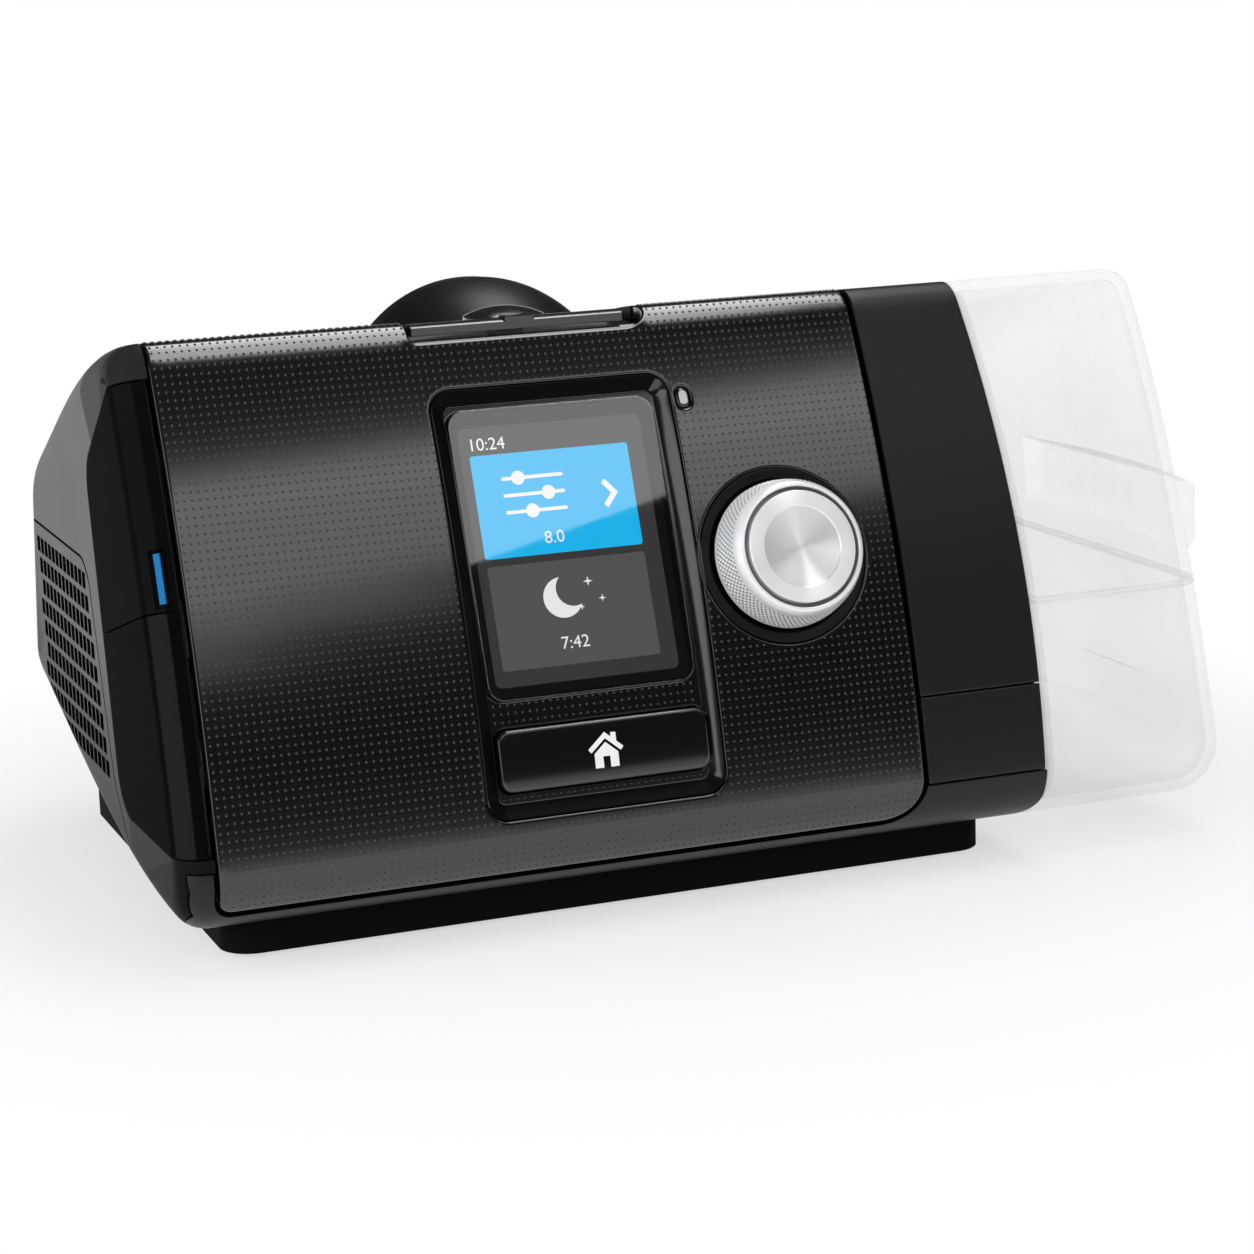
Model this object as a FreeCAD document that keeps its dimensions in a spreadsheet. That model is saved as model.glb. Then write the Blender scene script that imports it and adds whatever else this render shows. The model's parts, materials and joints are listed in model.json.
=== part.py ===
"""Bedside CPAP machine with a slide-in water tub, as a parametric FreeCAD document.

Frame: X runs from the card side to the water tub, Y from the display to the air outlet, Z up.
The origin is on the table, under the middle of the whole machine. All sizes are in millimetres.
"""
import FreeCAD, Part
import math
import os
import Sketcher

from FreeCAD import Placement, Rotation, Vector

# ---------------------------------------------------------------- driving dimensions
DIMENSIONS = {
    # side profile of the machine: tangent arcs in the YZ plane
    "face_centre_y": 191.3, "face_centre_z": -28.5, "face_radius": 270,
    "deck_centre_y": -72.9, "deck_centre_z": -154.5, "deck_radius": 260,
    "keel_centre_y": -64.65, "keel_centre_z": 427, "keel_radius": 420,
    "rear_low_y": 56.4, "rear_low_z": 30, "rear_high_y": 46.1, "rear_high_z": 76,
    "chin_radius": 10, "ridge_radius": 5.5, "brow_radius": 18, "heel_radius": 10,
    "side_round": 6, "rear_side_round": 15,
    # walls, gaps and the stations along the width
    "wall": 2.5, "gap": 0.3, "end_wall": 4,
    "left_side": -102.5, "frame_right": -96.4, "body_left": -96, "fascia_right": 34,
    "bay_left": 34.9, "collar_right": 62, "total_right": 102.5,
    "ridge_split": -37.8, "tray_split_y": -72.7, "tray_split_z": 10.8, "tray_split_rise": 0.1,
    "lip_top_z": 17, "fascia_corner": 8, "fascia_small_corner": 2.5,
    # right edge of the body against the tub: a bow in the XZ plane with a rounded foot
    "edge_top_x": 55.8, "edge_top_z": 105, "edge_mid_x": 58.9, "edge_mid_z": 58,
    "edge_low_x": 58.6, "edge_round": 6,
    # display well, glass, screen, home button and light sensor
    "well_x": -26.25, "well_z": 57.5, "well_width": 44.3, "well_height": 75.4, "well_corner": 4,
    "well_thick": 4, "well_floor": 1.6, "well_rim": 1.9,
    "glass_x": -26.6, "glass_z": 65.3, "glass_width": 38.2, "glass_height": 51.2,
    "glass_corner": 3, "glass_thick": 1.4, "glass_depth": 2.8,
    "screen_x": -27.4, "screen_width": 33.6, "screen_height": 43, "screen_corner": 1,
    "screen_thick": 3.4, "screen_depth": 6.3,
    "home_x": -26, "home_z": 30.7, "home_width": 38.6, "home_height": 10.7, "home_corner": 2,
    "home_thick": 4, "home_depth": 3.8, "button_gap": 0.25,
    "switch_width": 6, "switch_height": 6, "switch_corner": 0.5, "switch_thick": 3.6,
    "home_switch_depth": 10.4, "plunger_radius": 1.7, "plunger_length": 2,
    "sensor_x": -1.6, "sensor_z": 87.9, "sensor_width": 2.6, "sensor_height": 3.8,
    "sensor_corner": 1.2, "sensor_thick": 2.3, "sensor_depth": 2.3,
    "board_x": -32, "board_width": 52, "board_height": 62, "board_corner": 2, "board_thick": 1.6,
    "board_depth": 14.2, "post_radius": 2.2,
    # dial: radii about its axis and heights above the face
    "dial_x": 12.1, "dial_z": 59.9, "zero": 0,
    "ring_radius": 15.7, "ring_lip": 14.9, "ring_floor_radius": 13.9, "ring_bottom": 1.4,
    "ring_floor": 2.6, "ring_top": 4.9, "ring_depth": 4.6, "shaft_hole": 3.05,
    "knob_foot": 13.3, "knob_skirt": 12.2, "knob_rim": 11.6, "knob_groove": 10.7,
    "knob_plate": 10.2, "knob_dish": 7.1, "knob_low": 0.3, "knob_skirt_top": 6.6,
    "knob_rim_top": 8.9, "knob_cap_seat": 7,
    "cap_seat": 10, "cap_low": 7.05, "cap_top": 9.2, "cap_dish_low": 8.5,
    "shaft_radius": 3, "shaft_length": 10.6, "shaft_depth": 6.7,
    "carrier_radius": 4, "carrier_length": 1.6, "carrier_depth": 8.4,
    "encoder_width": 13, "encoder_height": 13, "encoder_thick": 6.6, "encoder_depth": 11.3,
    "encoder_corner": 1, "encoder_bore": 4.3, "encoder_pocket": 4.8,
    # start key on the ridge
    "key_left": -48.6, "key_right": -9.2, "key_front": -43.2, "key_back": -25.4, "key_inset": 0.3,
    "key_low": 101.3, "notch_floor": 100.4, "notch_margin": 1.1,
    "key_stem": 5, "key_stem_low": 96.6, "key_stem_play": 0.3, "shelf_low": 97.6, "shelf_back": -24.6,
    "key_dome_radius": 7.3, "key_dome_rise": 1.7, "key_mid_x": -28.4, "key_mid_y": -34,
    "lens_radius": 3.2, "lens_y": -41.2, "lens_low": 101.9, "lens_top": 103.4,
    "key_board_low": 90.2, "key_board_top": 91.8, "key_switch_top": 95.8,
    # covers on the card side, as points of the YZ plane
    "cover_thick": 2, "cover_right": -97.3, "frame_wall": 4.4,
    "cover_low_z": 19.6, "cover_rear_low_y": -30.4, "cover_rear_high_y": -18.4, "cover_rear_high_z": 80,
    "cover_top_y": -42.4, "cover_top_z": 96.8,
    "cover_low_round": 9, "cover_high_round": 8, "seam_rear_z": 52.2, "seam_front_z": 62.6,
    "seam_front_y": -68, "corner_z": 18.9,
    "catch_x": -99.6, "catch_z": 66.8, "catch_depth": 0.9, "catch_turn": -31, "catch_width": 1.1,
    "catch_length": 8.6, "catch_high": 1.6, "recess_width": 2.9, "recess_length": 9.9, "recess_deep": 0.7,
    "card_x": -95, "card_y": -44.5, "card_z": 73, "card_wide": 24, "card_long": 32, "card_thick": 2.1,
    "card_play": 0.15, "card_push": 1.6, "socket_wall": 1.2,
    "adapter_y": -48, "adapter_z": 42, "adapter_width": 16, "adapter_height": 12,
    "adapter_long": 12, "adapter_wall": 2,
    # filter side
    "filter_top_z": 62, "filter_front_y": -17.2, "filter_low_y": -36.6,
    "filter_low_z": 12.4, "filter_mid_z": 24, "filter_round": 8, "filter_rear_x": -70,
    "slot_pitch_z": 4.1, "slot_height": 3.0, "slot_pitch_y": 3.5, "slot_width": 2.8,
    "slot_rows": 9, "slot_row_low": 23.6, "slot_front_y": -22, "slot_lean": 0.31, "slot_back_y": 34,
    "pad_x": -99.4, "pad_thick": 5, "pad_y": -4, "pad_width": 37, "pad_z": 28, "pad_height": 30,
    "seat_thick": 2, "seat_rim": 3,
    # blower, all about one upright axis
    "blower_x": -58, "blower_y": -8, "blower_radius": 31, "blower_wall": 2,
    "blower_floor": 20, "blower_inside": 22, "blower_seam": 38, "blower_top": 54,
    "inlet_radius": 13, "bearing_radius": 5, "filter_play": 0.2,
    "motor_radius": 2, "running_gap": 0.05, "bearing_length": 2.6, "high_bearing": 36,
    "plate_low": 35.8, "plate_top": 37.4, "plate_edge": 28.8, "can_inner": 14.1, "can_outer": 15.6,
    "coil_inner": 8.5, "coil_outer": 14, "coil_low": 27, "coil_top": 34.6, "magnet_radius": 8,
    "shaft_low": 22.4, "shaft_top": 49.6, "wheel_low": 40, "wheel_disc": 1.6, "wheel_radius": 25,
    "wheel_hub": 6, "wheel_hub_top": 49, "blade_count": 11, "blade_length": 15.5, "blade_wide": 1.4,
    "blade_height": 7, "isolator_radius": 4, "isolator_low": 17.4, "isolator_reach": 20,
    "muffler_low": 54.2, "muffler_width": 48, "muffler_length": 40, "muffler_height": 19,
    "muffler_corner": 3, "muffler_hole": 8, "muffler_y": -4,
    # ducts and the air outlet
    "duct_inner": 5.2, "duct_outer": 6.5, "duct_y": -18, "duct_low_z": 46, "duct_high_z": 66,
    "duct_bend": 9, "exit_inner": 6.2, "exit_outer": 7.5, "exit_y": 8, "port_z": 72, "port_x": -7.6,
    "exit_bend": 10,
    "port_radius": 11, "port_inner": 9.2, "port_start": 38, "port_step": 47.2, "port_flange_low": 48.6,
    "port_flange_high": 51.6, "port_flange": 13, "port_collar": 12.2, "port_seat": 54.2,
    "port_end": 76, "collet_radius": 7.55, "collet_outer": 9.6, "duct_end": 46.8,
    "hood_x": -7.6, "hood_z": 72.8, "hood_radius": 28.6, "hood_wall": 2.2, "hood_nose": 34,
    "hood_edge": 46.6, "hood_end": 54, "hood_taper": 0.5, "hood_round": 1.6, "hood_hole": 12.4,
    "sensor_block": 8,
    # water tub, its bay and the heater
    "bay_wall": 2, "bay_x": 6, "bay_front": -47, "bay_back": 30, "bay_floor": 18, "bay_roof": 84,
    "tub_play": 0.7, "tub_wall": 2, "tub_gap": 0.4, "tub_floor": 21.2, "tub_seam": 47,
    "seal_height": 0.8, "dock_ring": 8.6,
    "tub_low_x": 98.3, "tub_lean_z": 20, "tub_lean": 0.05, "neck_corner": 6,
    "tub_chin_round": 9.5, "tub_ridge_round": 5, "tub_rear_round": 15,
    "heater_x": 32, "heater_y": -9, "heater_width": 44, "heater_corner": 4, "heater_thick": 2.6,
    "heater_low": 18.4, "plate_width": 42, "plate_inset": 0.15,
    "grip_bow": 160, "grip_mid_y": -27, "grip_front": -60, "grip_back": 4, "grip_corner": 3,
    "high_grip_low": 52, "high_grip_high": 65, "low_grip_low": 15.4, "low_grip_high": 24, "low_grip_in": 1.4,
    # power inlet, its clip and the blank plate on the rear wall
    "inlet_x": 38, "inlet_z": 44, "inlet_width": 16, "inlet_height": 12, "inlet_depth": 13,
    "socket_width": 11, "socket_height": 6.4, "socket_depth": 10.6, "inlet_corner": 1,
    "pin_radius": 0.6, "pin_length": 4, "pin_pitch": 3,
    "flange_width": 24, "flange_height": 21, "flange_thick": 1.2, "flange_rise": 3.4,
    "clip_rise": 10.6, "clip_width": 12, "clip_length": 9, "clip_thick": 1.6, "clip_barrel": 1.5,
    "clip_pin": 0.8, "clip_ear": 2,
    # foot under the body
    "foot_left": -93, "foot_right": 51.5, "foot_front": -64.6, "foot_back": 44, "foot_low": 0.8,
    "foot_floor": 2.2, "foot_wall": 2.5, "foot_corner": 6, "foot_high": 30,
    "pad_radius": 6, "pad_inset": 12, "screw_head": 3, "screw_head_high": 1.5, "screw_radius": 1.5,
    "screw_length": 7.6, "screw_inset": 26, "screw_post": 3.6,
}

doc = FreeCAD.newDocument("cpap_machine")
dims = doc.addObject("Spreadsheet::Sheet", "dims")
for row, (alias, size) in enumerate(DIMENSIONS.items(), start=1):
    dims.set(f"A{row}", str(size))
    dims.setAlias(f"A{row}", alias)
doc.recompute()

nodes = []


def dim(alias):
    """A driving dimension, read from the sheet."""
    return float(dims.get(alias))


def keep(piece, label):
    """Gives a sub-part its own label, which names its file."""
    piece.Label = label
    nodes.append(piece)
    return piece


def bind(piece, expressions):
    """Binds properties of an object to expressions of the sheet's cells."""
    for name, expression in expressions.items():
        piece.setExpression(name, str(expression))


def cell(alias):
    return f"dims.{alias}"


# ---------------------------------------------------------------- places on the curved face
def face_y(z):
    """The face's Y at a height: the near side of its big circle."""
    return dim("face_centre_y") - math.sqrt(dim("face_radius") ** 2 - (z - dim("face_centre_z")) ** 2)


def face_lean(z):
    """How far the face leans back from upright at a height, in degrees."""
    return math.degrees(math.asin((z - dim("face_centre_z")) / dim("face_radius")))


def face_place(x, z, depth):
    """A frame on the face: its Z points straight out, its Y up the face, sunk by depth."""
    turn = Rotation(Vector(1, 0, 0), 90 - face_lean(z))
    return Placement(Vector(x, face_y(z), z) - turn.multVec(Vector(0, 0, depth)), turn)


def seat_on_face(piece, x, z, depth):
    """Binds a body's place to cells: x and z on the face, and the depth of its own origin."""
    lean = f"asin(({cell(z)} - dims.face_centre_z) / dims.face_radius)"
    reach = f"sqrt(dims.face_radius ^ 2 - ({cell(z)} - dims.face_centre_z) ^ 2)"
    piece.Placement = face_place(dim(x), dim(z), dim(depth))
    bind(piece, {
        "Placement.Base.x": cell(x),
        "Placement.Base.y": f"dims.face_centre_y - {reach} + {cell(depth)} * cos({lean})",
        "Placement.Base.z": f"{cell(z)} - {cell(depth)} * sin({lean})",
    })


def rear_place(x, z, depth):
    """A frame on the rear wall: its Z points straight out of the wall, its Y up the wall."""
    rise = dim("rear_high_z") - dim("rear_low_z")
    run = dim("rear_high_y") - dim("rear_low_y")
    y = dim("rear_low_y") + (z - dim("rear_low_z")) * run / rise
    lean = math.degrees(math.atan2(-run, rise))
    turn = Rotation(Vector(1, 0, 0), lean).multiply(Rotation(Vector(0, 1, 1), 180))
    return Placement(Vector(x, y, z) - turn.multVec(Vector(0, 0, depth)), turn)


# ---------------------------------------------------------------- small shapes
def box_shape(low, high):
    """A box from its lowest to its highest corner."""
    size = Vector(*high) - Vector(*low)
    return Part.makeBox(size.x, size.y, size.z, Vector(*low))


def rounded_plate(width, height, thick, corner, place):
    """A plate centred on a frame, from its origin plane outwards, with rounded corners."""
    plate = Part.makeBox(width, height, thick, Vector(-width / 2, -height / 2, 0))
    upright = [edge for edge in plate.Edges if abs(edge.tangentAt(edge.FirstParameter).z) > 0.9]
    plate = plate.makeFillet(corner, upright)
    plate.Placement = place
    return plate


def rod_shape(radius, length, start, along):
    return Part.makeCylinder(radius, length, Vector(*start), Vector(*along))


def feature(label, shape):
    """A sub-part whose shape comes from Part's own functions."""
    piece = doc.addObject("Part::Feature", label)
    piece.Shape = shape
    return keep(piece, label)


# ---------------------------------------------------------------- bodies with sketches
def origin_plane(body, role):
    return next(item for item in body.Origin.OriginFeatures if item.Role == role)


def new_body(label):
    return keep(doc.addObject("PartDesign::Body", label), label)


def new_sketch(body, name, role="XY_Plane"):
    sketch = body.newObject("Sketcher::SketchObject", f"{body.Name}_{name}")
    sketch.AttachmentSupport = [(origin_plane(body, role), "")]
    sketch.MapMode = "FlatFace"
    return sketch


def constrain(sketch, kind, *where):
    return sketch.addConstraint(Sketcher.Constraint(kind, *where))


def drive(sketch, kind, where, alias):
    """A length of the sketch that a cell of the sheet drives."""
    index = constrain(sketch, kind, *where, dim(alias))
    sketch.setExpression(f"Constraints[{index}]", cell(alias))


def draw_rectangle(sketch, width, height):
    """A rectangle centred on the sketch's origin."""
    right, top = dim(width) / 2, dim(height) / 2
    corners = [Vector(-right, -top), Vector(right, -top), Vector(right, top), Vector(-right, top)]
    first = sketch.GeometryCount
    for start, end in zip(corners, corners[1:] + corners[:1]):
        sketch.addGeometry(Part.LineSegment(start, end))
    for side in range(4):
        constrain(sketch, "Coincident", first + side, 2, first + (side + 1) % 4, 1)
        constrain(sketch, "Vertical" if side % 2 else "Horizontal", first + side)
    constrain(sketch, "Symmetric", first, 1, first + 2, 1, -1, 1)
    drive(sketch, "DistanceX", (first, 1, first, 2), width)
    drive(sketch, "DistanceY", (first + 1, 1, first + 1, 2), height)


def draw_circle(sketch, radius):
    """A circle about the sketch's origin."""
    index = sketch.addGeometry(Part.Circle(Vector(0, 0), Vector(0, 0, 1), dim(radius)))
    constrain(sketch, "Coincident", index, 3, -1, 1)
    drive(sketch, "Radius", (index,), radius)


def draw_outline(sketch, points):
    """A closed outline through points given as pairs of aliases, radius first and height second."""
    places = [Vector(dim(across), dim(up)) for across, up in points]
    for start, end in zip(places, places[1:] + places[:1]):
        sketch.addGeometry(Part.LineSegment(start, end))
    for index, (across, up) in enumerate(points):
        constrain(sketch, "Coincident", index, 1, (index - 1) % len(points), 2)
        for kind, axis, alias in (("DistanceX", -2, across), ("DistanceY", -1, up)):
            if dim(alias) == 0:
                constrain(sketch, "PointOnObject", index, 1, axis)
            else:
                drive(sketch, kind, (-1, 1, index, 1), alias)


def pad(body, sketch, length, name="pad"):
    solid = body.newObject("PartDesign::Pad", f"{body.Name}_{name}")
    solid.Profile = sketch
    solid.setExpression("Length", cell(length))
    sketch.Visibility = False
    return solid


def pocket(body, sketch, length, name="pocket", into_plus=True):
    """Cuts along the sketch's own outward side; a plain pocket cuts the other way."""
    cut = body.newObject("PartDesign::Pocket", f"{body.Name}_{name}")
    cut.Profile = sketch
    cut.Reversed = into_plus
    cut.setExpression("Length", cell(length))
    return cut


def round_upright_edges(body, solid, radius):
    doc.recompute()
    upright = [f"Edge{index}" for index, edge in enumerate(solid.Shape.Edges, start=1)
               if abs(edge.tangentAt(edge.FirstParameter).z) > 0.9]
    fillet = body.newObject("PartDesign::Fillet", f"{body.Name}_corners")
    fillet.Base = (solid, upright)
    fillet.setExpression("Radius", cell(radius))
    return fillet


def plate_body(label, width, height, thick, corner):
    """A flat plate with rounded corners, centred on its own origin."""
    body = new_body(label)
    sketch = new_sketch(body, "outline")
    draw_rectangle(sketch, width, height)
    round_upright_edges(body, pad(body, sketch, thick), corner)
    return body


def turned_body(label, points):
    """A body turned about its own Z axis from an outline of radii and heights."""
    body = new_body(label)
    sketch = new_sketch(body, "half_section", "XZ_Plane")
    draw_outline(sketch, points)
    turned = body.newObject("PartDesign::Revolution", f"{body.Name}_turn")
    turned.Profile = sketch
    turned.ReferenceAxis = (sketch, ["V_Axis"])
    turned.Angle = 360
    return body


def tube_points(inner, outer, low, high):
    return [(inner, low), (outer, low), (outer, high), (inner, high)]


def place_at(piece, x, y, z="zero"):
    """Binds an upright body's place to cells."""
    bind(piece, {"Placement.Base.x": cell(x), "Placement.Base.y": cell(y), "Placement.Base.z": cell(z)})


# ---------------------------------------------------------------- side profile and envelopes
def arcs_meet(centre_a, radius_a, centre_b, radius_b, side):
    """One of the two points where two circles meet."""
    dy, dz = centre_b[0] - centre_a[0], centre_b[1] - centre_a[1]
    span = math.hypot(dy, dz)
    along = (span ** 2 + radius_a ** 2 - radius_b ** 2) / (2 * span)
    off = side * math.sqrt(radius_a ** 2 - along ** 2)
    return ((along * dy - off * dz) / span + centre_a[0], (along * dz + off * dy) / span + centre_a[1])


def rear_line():
    """The rear wall as a point, its upward direction and its outward normal."""
    low = (dim("rear_low_y"), dim("rear_low_z"))
    high = (dim("rear_high_y"), dim("rear_high_z"))
    length = math.dist(low, high)
    up = ((high[0] - low[0]) / length, (high[1] - low[1]) / length)
    return low, up, (up[1], -up[0])


def line_meets_arc(inset, centre, radius, side):
    """Where the rear wall, moved inwards, meets a circle."""
    low, up, out = rear_line()
    start = (low[0] - inset * out[0], low[1] - inset * out[1])
    dy, dz = start[0] - centre[0], start[1] - centre[1]
    half = dy * up[0] + dz * up[1]
    step = -half + side * math.sqrt(half ** 2 - dy ** 2 - dz ** 2 + radius ** 2)
    return (start[0] + step * up[0], start[1] + step * up[1])


def profile_centres():
    """The main arcs as (centre, radius), and the rounding arcs between them, each tangent to both."""
    face = ((dim("face_centre_y"), dim("face_centre_z")), dim("face_radius"))
    deck = ((dim("deck_centre_y"), dim("deck_centre_z")), dim("deck_radius"))
    keel = ((dim("keel_centre_y"), dim("keel_centre_z")), dim("keel_radius"))
    chin_r, ridge_r = dim("chin_radius"), dim("ridge_radius")
    brow_r, heel_r = dim("brow_radius"), dim("heel_radius")
    chin = (arcs_meet(face[0], face[1] - chin_r, keel[0], keel[1] - chin_r, 1), chin_r)
    ridge = (arcs_meet(face[0], face[1] - ridge_r, deck[0], deck[1] - ridge_r, -1), ridge_r)
    brow = (line_meets_arc(brow_r, deck[0], deck[1] - brow_r, 1), brow_r)
    heel = (line_meets_arc(heel_r, keel[0], keel[1] - heel_r, -1), heel_r)
    return {"face": face, "deck": deck, "keel": keel,
            "chin": chin, "ridge": ridge, "brow": brow, "heel": heel}


CENTRES = profile_centres()


def tangent_point(small, big, inset):
    """Where a rounding arc touches the main arc that it lies inside."""
    centre, radius = CENTRES[small]
    base = CENTRES[big][0]
    span = math.dist(centre, base)
    reach = (radius - inset) / span
    return (centre[0] + (centre[0] - base[0]) * reach, centre[1] + (centre[1] - base[1]) * reach)


def wall_point(small, inset):
    """Where a rounding arc touches the straight rear wall."""
    centre, radius = CENTRES[small]
    out = rear_line()[2]
    return (centre[0] + out[0] * (radius - inset), centre[1] + out[1] * (radius - inset))


def arc_edge(name, inset, start, end, x):
    """An arc of the profile between two points, drawn in the plane at x."""
    centre, radius = CENTRES[name]
    middle = ((start[0] + end[0]) / 2, (start[1] + end[1]) / 2)
    stretch = (radius - inset) / math.dist(middle, centre)
    middle = (centre[0] + (middle[0] - centre[0]) * stretch, centre[1] + (middle[1] - centre[1]) * stretch)
    return Part.Arc(Vector(x, *start), Vector(x, *middle), Vector(x, *end)).toShape()


def profile_face(inset, x):
    """The machine's side profile in the plane at x, moved inwards by inset."""
    chin_face, ridge_face = tangent_point("chin", "face", inset), tangent_point("ridge", "face", inset)
    ridge_deck, brow_deck = tangent_point("ridge", "deck", inset), tangent_point("brow", "deck", inset)
    brow_wall, heel_wall = wall_point("brow", inset), wall_point("heel", inset)
    heel_keel, chin_keel = tangent_point("heel", "keel", inset), tangent_point("chin", "keel", inset)
    wall = Part.LineSegment(Vector(x, *brow_wall), Vector(x, *heel_wall)).toShape()
    edges = [
        arc_edge("face", inset, chin_face, ridge_face, x),
        arc_edge("ridge", inset, ridge_face, ridge_deck, x),
        arc_edge("deck", inset, ridge_deck, brow_deck, x),
        arc_edge("brow", inset, brow_deck, brow_wall, x),
        wall,
        arc_edge("heel", inset, heel_wall, heel_keel, x),
        arc_edge("keel", inset, heel_keel, chin_keel, x),
        arc_edge("chin", inset, chin_keel, chin_face, x),
    ]
    return Part.Face(Part.Wire(edges))


def prism(name, inset, left, right):
    """The profile pushed along X from left to right."""
    piece = doc.addObject("Part::Feature", name)
    piece.Shape = profile_face(inset, left).extrude(Vector(right - left, 0, 0))
    return piece


def corner_radius(y, inset):
    """The side edge's rounding: small round the front, wide at the rear."""
    at_front = y < dim("ridge_split")
    return (dim("side_round") if at_front else dim("rear_side_round")) - inset


def rounded_prism(name, inset, left, right):
    """The profile pushed along X, with the edge of its left end rounded, wider towards the rear."""
    piece = prism(f"{name}_block", inset, left, right)
    edges = []
    for index, edge in enumerate(piece.Shape.Edges, start=1):
        if all(abs(vertex.Point.x - left) < 1e-6 for vertex in edge.Vertexes):
            radii = [corner_radius(vertex.Point.y, inset) for vertex in edge.Vertexes]
            edges.append((index, *radii))
    fillet = doc.addObject("Part::Fillet", name)
    fillet.Base = piece
    fillet.Edges = edges
    doc.recompute()
    return fillet.Shape


LEFT, WALL, GAP = dim("left_side"), dim("wall"), dim("gap")
RIGHT = dim("collar_right")
FAR = 200

envelope = rounded_prism("envelope", 0, LEFT, RIGHT)
cavity = rounded_prism("cavity", WALL, LEFT + WALL, RIGHT)
skin = envelope.cut(cavity)


def slab(left, right):
    return box_shape((left, -FAR, -FAR), (right, FAR, FAR))


def above_tray(play=0.0):
    """All space above the sloping plane where the base tray meets the rear shell."""
    block = box_shape((-FAR, -FAR, 0), (FAR, FAR, FAR))
    lean = math.degrees(math.atan(dim("tray_split_rise")))
    block.Placement = Placement(
        Vector(0, dim("tray_split_y"), dim("tray_split_z") + play), Rotation(Vector(1, 0, 0), lean))
    return block


def left_of_edge(play):
    """All space to the left of the bowed edge that the body turns to the tub."""
    top = Vector(dim("edge_top_x") + play, -FAR, dim("edge_top_z"))
    middle = Vector(dim("edge_mid_x") + play, -FAR, dim("edge_mid_z"))
    turn, low = dim("edge_round"), CENTRES["chin"][0][1] - CENTRES["chin"][1] - 0.2
    foot = Vector(dim("edge_low_x") + play, -FAR, low + turn)
    end = Vector(foot.x - turn, -FAR, low)
    corner = Vector(end.x + turn * math.sqrt(0.5), -FAR, foot.z - turn * math.sqrt(0.5))
    far_low, far_top = Vector(-FAR, -FAR, low), Vector(-FAR, -FAR, top.z)
    edges = [
        Part.Arc(top, middle, foot).toShape(), Part.Arc(foot, corner, end).toShape(),
        Part.LineSegment(end, far_low).toShape(), Part.LineSegment(far_low, far_top).toShape(),
        Part.LineSegment(far_top, top).toShape(),
    ]
    return Part.Face(Part.Wire(edges)).extrude(Vector(0, 2 * FAR, 0))


def front_side(y):
    return box_shape((-FAR, -FAR, -FAR), (FAR, y, FAR))


def rear_side(y):
    return box_shape((-FAR, y, -FAR), (FAR, FAR, FAR))


def outline_prism(points, radii, left, right):
    """A straight-sided outline of the YZ plane with rounded corners, pushed along X."""
    wire = Part.makePolygon([Vector(left, *point) for point in points + points[:1]])
    block = Part.Face(wire).extrude(Vector(right - left, 0, 0))
    for point, radius in zip(points, radii):
        if radius:
            edges = [edge for edge in block.Edges
                     if all(math.dist((v.Point.y, v.Point.z), point) < 1e-4 for v in edge.Vertexes)]
            block = block.makeFillet(radius, edges)
    return block


# ---------------------------------------------------------------- outlines on the card side
def face_point(z, depth):
    """A point of the YZ plane at a depth behind the face."""
    lean = math.radians(face_lean(z))
    return (face_y(z) + depth * math.cos(lean), z - depth * math.sin(lean))


def seam_height(y):
    """The sloping seam between the card cover and the adapter cover."""
    rear = dim("cover_rear_low_y")
    part = (y - rear) / (dim("seam_front_y") - rear)
    return dim("seam_rear_z") + part * (dim("seam_front_z") - dim("seam_rear_z"))


def covers_outline(grow):
    """The window that both covers fill, grown outwards."""
    low, high = dim("cover_low_z") - grow, dim("cover_rear_high_z") + grow
    points = [
        face_point(low, -9), face_point(60, -9), face_point(dim("cover_top_z") + grow, -9),
        (dim("cover_top_y") + grow, dim("cover_top_z") + grow), (dim("cover_rear_high_y") + grow, high),
        (dim("cover_rear_low_y") + grow, low),
    ]
    radii = [0, 0, 0, 0, dim("cover_high_round"), dim("cover_low_round")]
    return outline_prism(points, radii, LEFT - 5, LEFT + 12)


def seam_block(above, play):
    """All space above or below the covers' seam."""
    front, rear, edge = -90.0, 10.0, 150.0 if above else -50.0
    points = [(front, seam_height(front) + play), (rear, seam_height(rear) + play),
              (rear, edge), (front, edge)]
    return outline_prism(points, [0, 0, 0, 0], LEFT - 6, LEFT + 14)


def filter_outline(grow):
    """The filter cover's outline on the side wall, grown outwards."""
    top, front = dim("filter_top_z") + grow, dim("filter_front_y") - grow
    low = dim("filter_low_y") - grow
    return [(FAR / 2, top), (front + 3.4, top), (front - 8.6, dim("filter_mid_z")),
            (low, dim("filter_low_z")), (low, -10), (FAR / 2, -10)]


def filter_region(grow):
    """The space that the filter cover takes out of the shells: the side, and round onto the rear."""
    radii = [0, dim("filter_round"), 10, 3, 0, 0]
    side = outline_prism(filter_outline(grow), radii, LEFT - 5, dim("frame_right") + 0.2)
    back = box_shape((dim("frame_right") + 0.1, 0, -FAR),
                     (dim("filter_rear_x") + grow, FAR, dim("filter_top_z") + grow))
    return side.fuse(back.common(above_tray(2 * GAP - grow)))


# ---------------------------------------------------------------- outer shells
def well_prism(grow, low=-30, high=30):
    """The display well's outline pushed through the face."""
    return rounded_plate(dim("well_width") + 2 * grow, dim("well_height") + 2 * grow, high - low,
                         dim("well_corner"), face_place(dim("well_x"), dim("well_z"), -low))


def notch_box(grow=0.0):
    """The flat notch across the ridge that the start key fills."""
    margin = dim("notch_margin") - grow
    return box_shape((dim("key_left") - margin, -FAR, dim("notch_floor")),
                     (dim("key_right") + margin + 2.6, dim("shelf_back"), FAR))


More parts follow.
